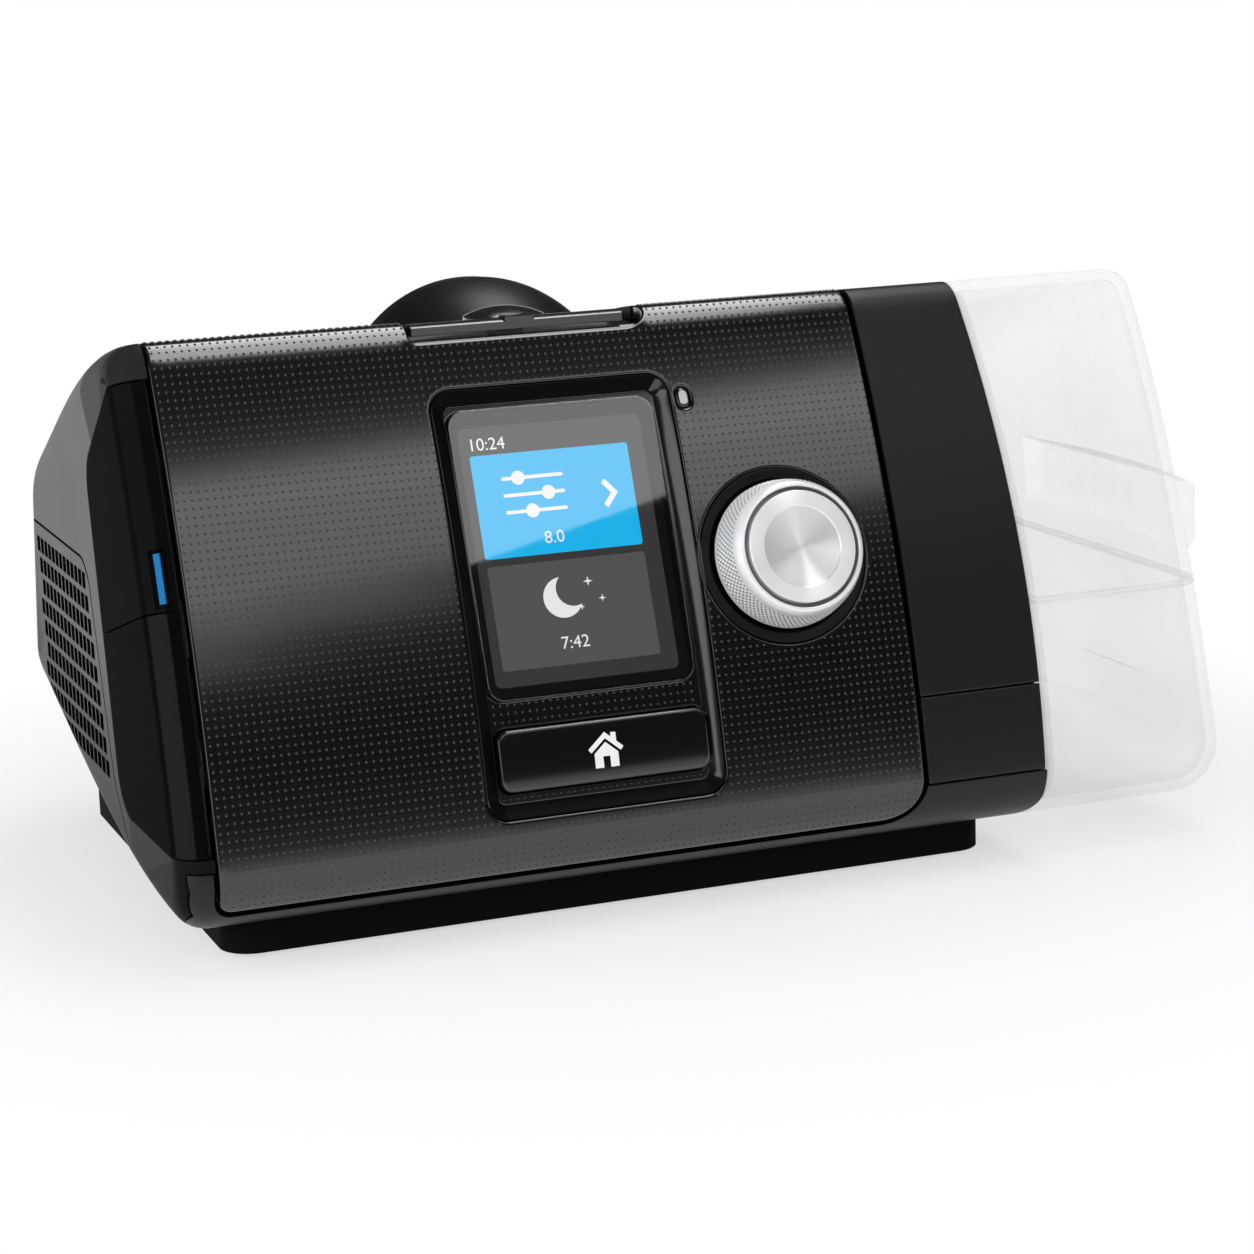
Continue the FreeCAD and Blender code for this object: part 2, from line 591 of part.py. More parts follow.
def key_stem(grow):
    """The square stem under the start key, grown sideways for the hole that it slides in."""
    half = dim("key_stem") / 2 + grow
    low = (dim("key_mid_x") - half, dim("key_mid_y") - half, dim("key_stem_low") - 2 * grow)
    return box_shape(low, (dim("key_mid_x") + half, dim("key_mid_y") + half, dim("key_low") + 0.5))


def front_zone(left, right, low, corners, back):
    """The part of the front between two sides and above a height, with rounded lower corners."""
    zone = box_shape((left, -FAR, low), (right, back, FAR))
    for x, radius in zip((left, right), corners):
        if radius:
            edges = [edge for edge in zone.Edges
                     if all(abs(v.Point.x - x) < 1e-6 and abs(v.Point.z - low) < 1e-6 for v in edge.Vertexes)]
            zone = zone.makeFillet(radius, edges)
    return zone


def fascia_zone(play):
    small, large = dim("fascia_small_corner"), dim("fascia_corner")
    return front_zone(dim("body_left") - play, dim("fascia_right") + play, dim("tray_split_z") + GAP - play,
                      (small + play, large + play), dim("ridge_split") - GAP + play)


def bay_zone(play):
    return front_zone(dim("bay_left") - play, FAR, dim("lip_top_z") + GAP - play, (0, 0),
                      dim("ridge_split") - GAP + play)


def make_fascia():
    """The patterned front, from its chin to just behind the ridge."""
    front = skin.common(fascia_zone(0))
    dial = face_place(dim("dial_x"), dim("dial_z"), 10)
    dial_hole = rod_shape(dim("ring_radius") + 0.1, 20, (0, 0, 0), (0, 0, 1))
    dial_hole.Placement = dial
    sensor = rounded_plate(dim("sensor_width") + 0.2, dim("sensor_height") + 0.2, 20,
                           dim("sensor_corner"), face_place(dim("sensor_x"), dim("sensor_z"), 10))
    for hole in (well_prism(0.1), dial_hole, sensor, notch_box()):
        front = front.cut(hole)
    return feature("fascia", front)


def make_bay_cover():
    """The plain dark front of the humidifier bay."""
    return feature("bay_cover", skin.common(bay_zone(0)).common(left_of_edge(0)))


def rear_hole(width, height, corner, x, z, depth=30):
    return rounded_plate(width, height, 2 * depth, corner, rear_place(x, z, depth))


def make_main_housing():
    """Deck, brow and rear wall in one shell."""
    shell = skin.common(slab(dim("body_left"), FAR)).common(left_of_edge(0)).common(above_tray(GAP))
    shell = shell.common(rear_side(dim("ridge_split")))
    port_hole = rod_shape(dim("port_flange") + 1, 40, (dim("port_x"), 30, dim("port_z")), (0, 1, 0))
    inlet_hole = rear_hole(dim("inlet_width") + 0.2, dim("inlet_height") + 0.2, 1,
                           dim("inlet_x"), dim("inlet_z"))
    for hole in (notch_box(), filter_region(GAP), port_hole, inlet_hole, key_stem(dim("key_stem_play"))):
        shell = shell.cut(hole)
    return feature("main_housing", shell)


def foot_corners(inset):
    return [(x, y) for x in (dim("foot_left") + inset, dim("foot_right") - inset)
            for y in (dim("foot_front") + inset, dim("foot_back") - inset)]


def lip_corner(grow):
    """The end of the front lip, where it wraps round the left corner under the covers."""
    top = dim("corner_z") + grow
    points = [(-90, top), face_point(top, 1.9 + grow), face_point(top - 3, 2.1 + grow),
              face_point(top - 7.2, 4.4 + grow), (-62 + grow, 6), (-62 + grow, 0), (-90, 0)]
    return outline_prism(points, [0] * 7, LEFT - 2, dim("body_left") + 1)


def make_base_tray():
    """The keel-shaped underside with its front lip, and posts that the foot screws onto."""
    gutter = dim("bay_left") - dim("fascia_right")
    body = slab(dim("body_left"), FAR).fuse(lip_corner(0))
    corner = cavity.common(left_of_edge(0)).cut(left_of_edge(-dim("bay_wall")))
    corner = corner.cut(box_shape((-FAR, -FAR, dim("bay_floor")), (FAR, FAR, FAR)))
    tray = skin.common(body).common(left_of_edge(0)).fuse(corner)
    behind = above_tray(0).common(rear_side(dim("ridge_split") - 2 * GAP))
    for zone in (fascia_zone(gutter), bay_zone(GAP), behind, filter_region(GAP)):
        tray = tray.cut(zone)
    floor = dim("foot_low") + dim("foot_floor")
    for x, y in foot_corners(dim("screw_inset")):
        post = rod_shape(dim("screw_post"), 30, (x, y, floor), (0, 0, 1)).cut(cavity)
        post = post.common(box_shape((-FAR, -FAR, 0), (FAR, FAR, 22)))
        tray = tray.fuse(post)
    for x, y in foot_corners(dim("screw_inset")):
        tray = tray.cut(rod_shape(dim("screw_radius"), dim("screw_length"), (x, y, floor - 0.6), (0, 0, 1)))
    return feature("base_tray", tray.removeSplitter())


def make_left_frame():
    """The satin end frame, with a pocket for the two covers and windows behind them."""
    end_hollow = rounded_prism("end_hollow", dim("frame_wall"), LEFT + dim("end_wall"), RIGHT)
    frame = envelope.cut(end_hollow).common(slab(LEFT - 1, dim("frame_right")))
    frame = frame.cut(lip_corner(GAP))
    depth = dim("cover_thick") + 0.2
    pocket_floor = rounded_prism("cover_floor", depth, LEFT + depth, RIGHT)
    covers = covers_outline(0)
    frame = frame.cut(covers.cut(pocket_floor))
    inside = LEFT + dim("end_wall") + 1
    card_window = card_block(0.4, LEFT - 1, inside)
    half_w, half_h = dim("adapter_width") / 2 - 1, dim("adapter_height") / 2 - 1
    adapter_window = box_shape((LEFT - 1, dim("adapter_y") - half_w, dim("adapter_z") - half_h),
                               (inside, dim("adapter_y") + half_w, dim("adapter_z") + half_h))
    for hole in (card_window, adapter_window, filter_region(GAP)):
        frame = frame.cut(hole)
    return feature("left_frame", frame)


cover_hollow = rounded_prism("cover_inside", dim("cover_thick"), LEFT + dim("cover_thick"), RIGHT)
cover_skin = envelope.cut(cover_hollow)


def corner_bar(width, length, low, high):
    """A bar along the rounded front corner, from a height below its skin to one above."""
    z = dim("catch_z")
    along = Rotation(Vector(1, 0, 0), -face_lean(z))
    turn = along.multiply(Rotation(Vector(0, 0, 1), dim("catch_turn")))
    bar = Part.makeBox(width, high - low, length, Vector(-width / 2, -high, -length / 2))
    bar.Placement = Placement(Vector(dim("catch_x"), *face_point(z, dim("catch_depth"))), turn)
    return bar


def make_covers():
    """The card cover over the adapter cover, and the blue catch in the card cover's recess."""
    fitted = cover_skin.common(covers_outline(-GAP)).common(slab(LEFT - 1, dim("cover_right")))
    recess = corner_bar(dim("recess_width"), dim("recess_length"), -dim("recess_deep"), 3)
    catch = corner_bar(dim("catch_width"), dim("catch_length"), -dim("catch_high"), 0)
    card = fitted.common(seam_block(True, GAP / 2)).cut(recess).cut(catch)
    feature("card_cover", card)
    feature("adapter_cover", fitted.common(seam_block(False, -GAP / 2)))
    feature("blue_catch", catch)


def slot_boxes():
    """The grille's upright slots, in rows parallel to the table."""
    boxes = []
    for row in range(int(dim("slot_rows"))):
        z = dim("slot_row_low") + row * dim("slot_pitch_z")
        low = dim("slot_front_y") + (z - dim("slot_row_low")) * dim("slot_lean")
        count = int((dim("slot_back_y") - low) // dim("slot_pitch_y"))
        for column in range(count):
            y = low + column * dim("slot_pitch_y")
            far = (LEFT + 8, y + dim("slot_width"), z + dim("slot_height"))
            boxes.append(box_shape((LEFT - 5, y, z), far))
    return Part.makeCompound(boxes)


def make_filter_side():
    """The slotted filter cover, the filter pad behind it and the seat that holds the pad."""
    cover = cover_skin.common(filter_region(-dim("filter_play"))).cut(slot_boxes())
    feature("filter_cover", cover)
    pad_low = (dim("pad_x"), dim("pad_y"), dim("pad_z"))
    pad_high = (dim("pad_x") + dim("pad_thick"), dim("pad_y") + dim("pad_width"),
                dim("pad_z") + dim("pad_height"))
    feature("air_filter", box_shape(pad_low, pad_high))
    rim = dim("seat_rim")
    seat_low = (pad_high[0], pad_low[1] - rim, pad_low[2] - rim)
    seat_high = (pad_high[0] + dim("seat_thick"), pad_high[1] + rim, pad_high[2] + rim)
    seat = box_shape(seat_low, seat_high).common(cavity)
    window = box_shape((-FAR, pad_low[1] + rim, pad_low[2] + rim),
                       (FAR, pad_high[1] - rim, pad_high[2] - rim))
    feature("filter_seat", seat.cut(window))


# ---------------------------------------------------------------- display side
def face_layer(outer, inner):
    """A curved layer that follows the face between two depths."""
    outside = prism(f"layer_{len(doc.Objects)}", outer, dim("body_left"), dim("fascia_right")).Shape
    inside = prism(f"layer_{len(doc.Objects)}", inner, dim("body_left"), dim("fascia_right")).Shape
    return outside.cut(inside)


def make_display_well():
    """The frame round the display and the home button, with posts for the main board."""
    rim, floor = dim("well_rim"), dim("well_floor")
    well = face_layer(-0.2, dim("well_thick")).common(well_prism(0))
    inner = rounded_plate(dim("well_width") - 2 * rim, dim("well_height") - 2 * rim, 60,
                          dim("well_corner") - rim / 2, face_place(dim("well_x"), dim("well_z"), 30))
    well = well.cut(face_layer(-5, floor).common(inner))
    glass_hole = rounded_plate(dim("glass_width") + 0.2, dim("glass_height") + 0.2, 40, dim("glass_corner"),
                               face_place(dim("glass_x"), dim("glass_z"), 20))
    play = dim("button_gap")
    home_hole = rounded_plate(dim("home_width") + 2 * play, dim("home_height") + 2 * play, 40,
                              dim("home_corner") + play, face_place(dim("home_x"), dim("home_z"), 20))
    well = well.cut(glass_hole).cut(home_hole)
    board = face_place(dim("board_x"), dim("well_z"), dim("board_depth") - dim("board_thick"))
    posts = []
    for x, y in ((8.2, 29), (23.6, 21.3), (8.2, -19.7), (23.6, -19.7)):
        post = rod_shape(dim("post_radius"), 14, (x, y, 0), (0, 0, 1))
        post.Placement = board
        posts.append(post)
    return well, posts


def make_face_parts():
    """Everything that sits in the display well."""
    well, posts = make_display_well()
    behind = prism("behind_well", dim("well_floor") + 0.4, dim("body_left"), dim("fascia_right")).Shape
    glass_clear = rounded_plate(dim("glass_width") + 0.2, dim("glass_height") + 0.2, 60, dim("glass_corner"),
                                face_place(dim("glass_x"), dim("glass_z"), 20))
    for post in posts:
        well = well.fuse(post.common(behind).common(well_prism(0)).cut(glass_clear))
    feature("display_well", well.removeSplitter())
    glass = plate_body("display_glass", "glass_width", "glass_height", "glass_thick", "glass_corner")
    seat_on_face(glass, "glass_x", "glass_z", "glass_depth")
    screen = plate_body("screen_module", "screen_width", "screen_height", "screen_thick", "screen_corner")
    seat_on_face(screen, "screen_x", "glass_z", "screen_depth")
    home = plate_body("home_button", "home_width", "home_height", "home_thick", "home_corner")
    seat_on_face(home, "home_x", "home_z", "home_depth")
    sensor = plate_body("light_sensor", "sensor_width", "sensor_height", "sensor_thick", "sensor_corner")
    seat_on_face(sensor, "sensor_x", "sensor_z", "sensor_depth")
    switch = plate_body("home_switch", "switch_width", "switch_height", "switch_thick", "switch_corner")
    stem = new_sketch(switch, "stem")
    draw_circle(stem, "plunger_radius")
    stem.setExpression("AttachmentOffset.Base.z", cell("switch_thick"))
    pad(switch, stem, "plunger_length", "stem_pad")
    seat_on_face(switch, "home_x", "home_z", "home_switch_depth")
    board = plate_body("main_board", "board_width", "board_height", "board_thick", "board_corner")
    seat_on_face(board, "board_x", "well_z", "board_depth")


def make_dial():
    """The push-and-turn dial: its sunk ring, knob, cap, shaft, carrier and encoder."""
    ring = turned_body("dial_ring", [
        ("shaft_hole", "zero"), ("ring_radius", "zero"), ("ring_radius", "ring_top"),
        ("ring_lip", "ring_top"), ("ring_floor_radius", "ring_floor"), ("ring_floor_radius", "ring_bottom"),
        ("shaft_hole", "ring_bottom")])
    seat_on_face(ring, "dial_x", "dial_z", "ring_depth")
    knob = turned_body("dial_knob", [
        ("shaft_radius", "knob_low"), ("knob_foot", "knob_low"), ("knob_skirt", "knob_skirt_top"),
        ("knob_rim", "knob_rim_top"), ("knob_groove", "knob_rim_top"), ("knob_groove", "knob_cap_seat"),
        ("shaft_radius", "knob_cap_seat")])
    seat_on_face(knob, "dial_x", "dial_z", "zero")
    cap = turned_body("dial_cap", [
        ("zero", "cap_low"), ("cap_seat", "cap_low"), ("knob_plate", "cap_dish_low"),
        ("knob_plate", "cap_top"), ("knob_dish", "cap_top"), ("zero", "cap_dish_low")])
    seat_on_face(cap, "dial_x", "dial_z", "zero")
    shaft = new_body("dial_shaft")
    section = new_sketch(shaft, "section")
    draw_circle(section, "shaft_radius")
    pad(shaft, section, "shaft_length")
    seat_on_face(shaft, "dial_x", "dial_z", "shaft_depth")
    carrier = new_body("dial_carrier")
    section = new_sketch(carrier, "section")
    draw_circle(section, "carrier_radius")
    pad(carrier, section, "carrier_length")
    seat_on_face(carrier, "dial_x", "dial_z", "carrier_depth")
    encoder = plate_body("dial_encoder", "encoder_width", "encoder_height", "encoder_thick", "encoder_corner")
    bore = new_sketch(encoder, "bore")
    draw_circle(bore, "encoder_bore")
    bore.setExpression("AttachmentOffset.Base.z", cell("encoder_thick"))
    pocket(encoder, bore, "encoder_pocket", into_plus=False)
    seat_on_face(encoder, "dial_x", "dial_z", "encoder_depth")


def make_start_key():
    """The start and stop key in its notch on the ridge, with its lens, shelf, switch and board."""
    x, y = dim("key_mid_x"), dim("key_mid_y")
    low, rise, base = dim("key_low"), dim("key_dome_rise"), dim("key_dome_radius")
    blank = box_shape((dim("key_left"), dim("key_front"), low), (dim("key_right"), dim("key_back"), FAR))
    key = prism("key_top", dim("key_inset"), dim("body_left"), dim("fascia_right")).Shape.common(blank)
    ball_radius = (base ** 2 + rise ** 2) / (2 * rise)
    top = key.BoundBox.ZMax - 0.4
    ball = Part.makeSphere(ball_radius, Vector(x, y, top + rise - ball_radius))
    dome = ball.common(rod_shape(base, 10, (x, y, low), (0, 0, 1)))
    lens = rod_shape(dim("lens_radius"), dim("lens_top") - dim("lens_low"),
                     (x, dim("lens_y"), dim("lens_low")), (0, 0, 1))
    lens = lens.common(rear_side(dim("key_front")))
    feature("start_key", key.fuse([dome, key_stem(0)]).cut(lens).removeSplitter())
    feature("start_lens", lens)
    shelf_box = box_shape((dim("key_left") - 0.8, -FAR, dim("shelf_low")),
                          (dim("key_right") + 3.4, dim("shelf_back") + 2, dim("notch_floor")))
    shelf = cavity.common(shelf_box).cut(key_stem(dim("key_stem_play")))
    posts = [rod_shape(2, dim("shelf_low") - dim("key_board_top") + 0.5, (x + side, y, dim("key_board_top")),
                       (0, 0, 1)) for side in (-14, 14)]
    feature("key_shelf", shelf.fuse(posts).removeSplitter())
    board = box_shape((x - 18, y - 6, dim("key_board_low")), (x + 18, y + 6, dim("key_board_top")))
    switch = box_shape((x - 4, y - 3, dim("key_board_top")), (x + 4, y + 3, dim("key_switch_top")))
    feature("start_switch", board.fuse(switch).removeSplitter())


# ---------------------------------------------------------------- card side, inside
def card_block(grow, left, right):
    """A block round the card's section, grown on its four long sides."""
    y, z = dim("card_y"), dim("card_z")
    half_thick, half_wide = dim("card_thick") / 2 + grow, dim("card_wide") / 2 + grow
    return box_shape((left, y - half_thick, z - half_wide), (right, y + half_thick, z + half_wide))


def make_card_parts():
    """The memory card in its socket, and the socket for a plug-in adapter, both on the end frame."""
    inner_wall, play, wall = LEFT + dim("end_wall"), dim("card_play"), dim("socket_wall")
    card_end = dim("card_x") + dim("card_long")
    feature("memory_card", card_block(0, dim("card_x"), card_end))
    slot_end = card_end + dim("card_push")
    slot = card_block(play, inner_wall - 1, slot_end)
    feature("card_socket", card_block(play + wall, inner_wall, slot_end + wall).cut(slot))
    y, z, wall = dim("adapter_y"), dim("adapter_z"), dim("adapter_wall")
    half_w, half_h = dim("adapter_width") / 2, dim("adapter_height") / 2
    end = inner_wall + dim("adapter_long")
    block = box_shape((inner_wall, y - half_w, z - half_h), (end, y + half_w, z + half_h))
    hollow = box_shape((inner_wall - 1, y - half_w + wall, z - half_h + wall),
                       (end - wall, y + half_w - wall, z + half_h - wall))
    feature("adapter_socket", block.cut(hollow))


# ---------------------------------------------------------------- blower
def make_blower():
    """The blower: housing and lid, motor, bearings and impeller, all about one upright axis."""
    housing = turned_body("blower_housing", [
        ("bearing_radius", "blower_inside"), ("bearing_radius", "blower_floor"),
        ("blower_radius", "blower_floor"),
        ("blower_radius", "blower_seam"), ("plate_edge", "blower_seam"), ("plate_edge", "blower_inside"),
        ("can_outer", "blower_inside"), ("can_outer", "plate_low"), ("can_inner", "plate_low"),
        ("can_inner", "blower_inside")])
    x, y, wall = dim("blower_x"), dim("blower_y"), dim("blower_wall")
    seam, rise = dim("blower_seam"), dim("blower_top") - dim("blower_seam")
    lid = rod_shape(dim("blower_radius"), rise, (x, y, seam), (0, 0, 1))
    lid_inside = rod_shape(dim("blower_radius") - wall, rise - wall, (x, y, seam), (0, 0, 1))
    inlet = rod_shape(dim("inlet_radius"), rise, (x, y, seam + wall), (0, 0, 1))
    outlet = rod_shape(dim("duct_outer") + 0.05, dim("blower_radius"),
                       (x + dim("isolator_reach"), dim("duct_y"), dim("duct_low_z")), (1, 0, 0))
    feature("blower_lid", lid.cut(lid_inside).cut(inlet).cut(outlet))
    stator = turned_body("motor_stator", tube_points("coil_inner", "coil_outer", "coil_low", "coil_top"))
    rotor = turned_body("motor_rotor", tube_points("motor_radius", "magnet_radius", "coil_low", "coil_top"))
    shaft = turned_body("motor_shaft", tube_points("zero", "motor_radius", "shaft_low", "shaft_top"))
    plate = turned_body("motor_plate", tube_points("bearing_radius", "plate_edge", "plate_low", "plate_top"))
    for piece in (housing, stator, rotor, shaft, plate):
        place_at(piece, "blower_x", "blower_y")
    make_bearings()
    make_impeller()
    low, reach = dim("isolator_low"), dim("isolator_reach")
    isolators = []
    for turn in range(3):
        angle = math.radians(90 + 120 * turn)
        x = dim("blower_x") + reach * math.cos(angle)
        y = dim("blower_y") - 6 + reach * math.sin(angle)
        foot = rod_shape(dim("isolator_radius"), dim("blower_floor") - 6, (x, y, 6), (0, 0, 1))
        isolators.append(foot.common(cavity))
    feature("blower_isolators", Part.makeCompound(isolators))
    foam = plate_body("inlet_muffler", "muffler_width", "muffler_length", "muffler_height", "muffler_corner")
    hole = new_sketch(foam, "hole")
    draw_circle(hole, "muffler_hole")
    pocket(foam, hole, "muffler_height")
    place_at(foam, "blower_x", "muffler_y", "muffler_low")


def make_bearings():
    """Two ball bearings, drawn as rings with the shaft's running gap."""
    x, y, length = dim("blower_x"), dim("blower_y"), dim("bearing_length")
    rings = []
    for z in (dim("blower_inside") - 0.6, dim("high_bearing")):
        ring = rod_shape(dim("bearing_radius"), length, (x, y, z), (0, 0, 1))
        hole = rod_shape(dim("motor_radius") + dim("running_gap"), length, (x, y, z), (0, 0, 1))
        rings.append(ring.cut(hole))
    feature("motor_bearings", Part.makeCompound(rings))


def make_impeller():
    """The fan wheel: a disc and hub with blades patterned round it."""
    wheel = turned_body("impeller", tube_points("motor_radius", "wheel_hub", "wheel_low", "wheel_hub_top"))
    disc = new_sketch(wheel, "disc")
    disc.setExpression("AttachmentOffset.Base.z", cell("wheel_low"))
    draw_circle(disc, "motor_radius")
    draw_circle(disc, "wheel_radius")
    pad(wheel, disc, "wheel_disc", "disc_pad")
    blade = new_sketch(wheel, "blade")
    blade.AttachmentOffset = Placement(Vector(dim("wheel_radius") - dim("blade_length") / 2 - 0.6, 0, 0),
                                       Rotation(Vector(0, 0, 1), 28))
    blade.setExpression("AttachmentOffset.Base.z", "dims.wheel_low + dims.wheel_disc - 0.2")
    blade.setExpression("AttachmentOffset.Base.x", "dims.wheel_radius - dims.blade_length / 2 - 1.2")
    draw_rectangle(blade, "blade_length", "blade_wide")
    blade_pad = pad(wheel, blade, "blade_height", "blade_pad")
    ring = wheel.newObject("PartDesign::PolarPattern", "impeller_blades")
    ring.Originals = [blade_pad]
    ring.Axis = (disc, ["N_Axis"])
    ring.Angle = 360
    ring.setExpression("Occurrences", cell("blade_count"))
    wheel.Tip = ring
    place_at(wheel, "blower_x", "blower_y")


# ---------------------------------------------------------------- air path
def swept_tube(path, outer, inner):
    """A tube of a constant section along a path of lines and arcs."""
    start = path.Edges[0].valueAt(path.Edges[0].FirstParameter)
    heading = path.Edges[0].tangentAt(path.Edges[0].FirstParameter)
    solids = []
    for radius in (outer, inner):
        ring = Part.Wire(Part.makeCircle(radius, start, heading))
        solids.append(path.makePipeShell([ring], True, False))
    return solids[0].cut(solids[1])


def rising_path(left, right, y, low, high, bend):
    """Level, a bend up, a rise, a bend back and level again, in one upright plane."""
    middle = (left + right) / 2
    half = math.sqrt(0.5)
    points = {
        "start": (left, low), "turn_in": (middle - bend, low),
        "turn_mid": (middle - bend + bend * half, low + bend - bend * half), "rise": (middle, low + bend),
        "rise_end": (middle, high - bend),
        "out_mid": (middle + bend - bend * half, high - bend + bend * half),
        "turn_out": (middle + bend, high), "end": (right, high),
    }
    at = {name: Vector(x, y, z) for name, (x, z) in points.items()}
    return Part.Wire([
        Part.LineSegment(at["start"], at["turn_in"]).toShape(),
        Part.Arc(at["turn_in"], at["turn_mid"], at["rise"]).toShape(),
        Part.LineSegment(at["rise"], at["rise_end"]).toShape(),
        Part.Arc(at["rise_end"], at["out_mid"], at["turn_out"]).toShape(),
        Part.LineSegment(at["turn_out"], at["end"]).toShape(),
    ])


def make_ducts():
    """The duct from the blower to the tub, and the one from the tub to the air outlet."""
    reach = math.sqrt(dim("blower_radius") ** 2 - (dim("duct_y") - dim("blower_y")) ** 2)
    start = dim("blower_x") + reach - 1.6
    path = rising_path(start, dim("bay_x"), dim("duct_y"),
                       dim("duct_low_z"), dim("duct_high_z"), dim("duct_bend"))
    blower_can = rod_shape(dim("blower_radius") - 1.9, FAR, (dim("blower_x"), dim("blower_y"), 0), (0, 0, 1))
    feature("blower_duct", swept_tube(path, dim("duct_outer"), dim("duct_inner")).cut(blower_can))
    x, y, z, bend = dim("port_x"), dim("exit_y"), dim("port_z"), dim("exit_bend")
    half = math.sqrt(0.5)
    turn_in, turn_out = Vector(x + bend, y, z), Vector(x, y + bend, z)
    turn_mid = Vector(x + bend - bend * half, y + bend - bend * half, z)
    path = Part.Wire([
        Part.LineSegment(Vector(dim("bay_x"), y, z), turn_in).toShape(),
        Part.Arc(turn_in, turn_mid, turn_out).toShape(),
        Part.LineSegment(turn_out, Vector(x, dim("duct_end"), z)).toShape(),
    ])
    feature("outlet_duct", swept_tube(path, dim("exit_outer"), dim("exit_inner")))
    half_block, top = dim("sensor_block") / 2, z - dim("exit_outer") - 0.05
    block = box_shape((x - half_block, 22, top - 5), (x + half_block, 22 + 2 * half_block, top))
    feature("flow_sensor", block)


def hump(inset):
    """The hood's outside, or its inside moved in by inset, turned about the outlet's axis."""
    x, z = dim("hood_x"), dim("hood_z")
    radius, nose = dim("hood_radius") - inset, dim("hood_nose") - inset
    edge, back = dim("hood_edge"), dim("hood_end") - inset
    steps = 24
    bow = [Vector(x, edge - nose * math.cos(turn), z + radius * math.sin(turn))
           for turn in (math.pi / 2 * step / steps for step in range(steps + 1))]
    curve = Part.BSplineCurve()
    curve.interpolate(bow, InitialTangent=Vector(0, 0, 1), FinalTangent=Vector(0, 1, 0))
    rear = Vector(x, back, z + radius - dim("hood_taper"))
    edges = [curve.toShape(), Part.LineSegment(bow[-1], rear).toShape(),
             Part.LineSegment(rear, Vector(x, back, z)).toShape(),
             Part.LineSegment(Vector(x, back, z), bow[0]).toShape()]
    return Part.Face(Part.Wire(edges)).revolve(Vector(x, 0, z), Vector(0, 1, 0), 360)


def make_outlet():
    """The domed hood on the deck and the air outlet's tube."""
    outside = hump(0)
    rim = [edge for edge in outside.Edges
           if all(abs(vertex.Point.y - dim("hood_end")) < 1e-6 for vertex in edge.Vertexes)
           and edge.Length > dim("hood_radius")]
    hood = outside.makeFillet(dim("hood_round"), rim).cut(hump(dim("hood_wall"))).cut(envelope)
    port_hole = rod_shape(dim("hood_hole"), FAR, (dim("port_x"), 0, dim("port_z")), (0, 1, 0))
    feature("outlet_hood", hood.cut(port_hole))
    y_axis = Rotation(Vector(1, 0, 0), -90)
    port = turned_body("outlet_port", [
        ("collet_radius", "port_start"), ("collet_outer", "port_start"), ("collet_outer", "port_flange_low"),
        ("port_flange", "port_flange_low"), ("port_flange", "port_flange_high"),
        ("port_collar", "port_flange_high"), ("port_collar", "port_seat"), ("port_radius", "port_seat"),
        ("port_radius", "port_end"), ("port_inner", "port_end"),
        ("port_inner", "port_step"), ("collet_radius", "port_step")])
    port.Placement = Placement(Vector(dim("port_x"), 0, dim("port_z")), y_axis)
    bind(port, {"Placement.Base.x": cell("port_x"), "Placement.Base.z": cell("port_z")})


# ---------------------------------------------------------------- water tub and its bay
def make_bay():
    """The bay's liner, the heater in its floor and the seals where the tub docks."""
    wall = dim("bay_wall")
    outer = box_shape((dim("bay_x"), dim("bay_front"), dim("bay_floor")),
                      (FAR, dim("bay_back"), dim("bay_roof")))
    inner = box_shape((dim("bay_x") + wall, dim("bay_front") + wall, dim("bay_floor") + wall),
                      (FAR, dim("bay_back") - wall, dim("bay_roof") - wall))
    collar = cavity.common(left_of_edge(0)).cut(left_of_edge(-wall))
    collar = collar.common(box_shape((0, -FAR, dim("bay_floor")), (FAR, FAR, FAR)))
    liner = outer.common(cavity).common(left_of_edge(-0.5)).fuse(collar).cut(inner)
    holes = [
        rod_shape(dim("duct_inner"), 10, (dim("bay_x") - 5, dim("duct_y"), dim("duct_high_z")), (1, 0, 0)),
        rod_shape(dim("exit_inner"), 10, (dim("bay_x") - 5, dim("exit_y"), dim("port_z")), (1, 0, 0)),
    ]
    half = dim("heater_width") / 2 + 0.3
    x, y = dim("heater_x"), dim("heater_y")
    holes.append(box_shape((x - half, y - half, 0), (x + half, y + half, dim("bay_floor") + wall + 1)))
    for hole in holes:
        liner = liner.cut(hole)
    feature("bay_liner", liner.removeSplitter())
    heater = plate_body("heater_plate", "heater_width", "heater_width", "heater_thick", "heater_corner")
    place_at(heater, "heater_x", "heater_y", "heater_low")
    rings = []
    for inner_radius, where in ((dim("duct_inner"), (dim("duct_y"), dim("duct_high_z"))),
                                (dim("exit_inner"), (dim("exit_y"), dim("port_z")))):
        start = (dim("bay_x") + wall, *where)
        length = dim("tub_play") + 0.25
        rings.append(rod_shape(dim("dock_ring"), length, start, (1, 0, 0))
                     .cut(rod_shape(inner_radius, length, start, (1, 0, 0))))
    feature("dock_seals", Part.makeCompound(rings))


def behind_tub_side(inset):
    """All space to the left of the tub's outer side, which leans in as it rises."""
    block = box_shape((-FAR, -FAR, -FAR), (0, FAR, FAR))
    lean = math.degrees(math.atan(dim("tub_lean")))
    block.Placement = Placement(Vector(dim("tub_low_x") - inset, 0, dim("tub_lean_z")),
                                Rotation(Vector(0, 1, 0), -lean))
    return block


def tub_round(point, inset):
    """The rounding of the tub's outer edges at a point: small on the ridge, wide at the rear."""
    if point.y > dim("ridge_split"):
        return dim("tub_rear_round") - inset
    return dim("tub_chin_round" if point.z < dim("tub_seam") else "tub_ridge_round") - inset


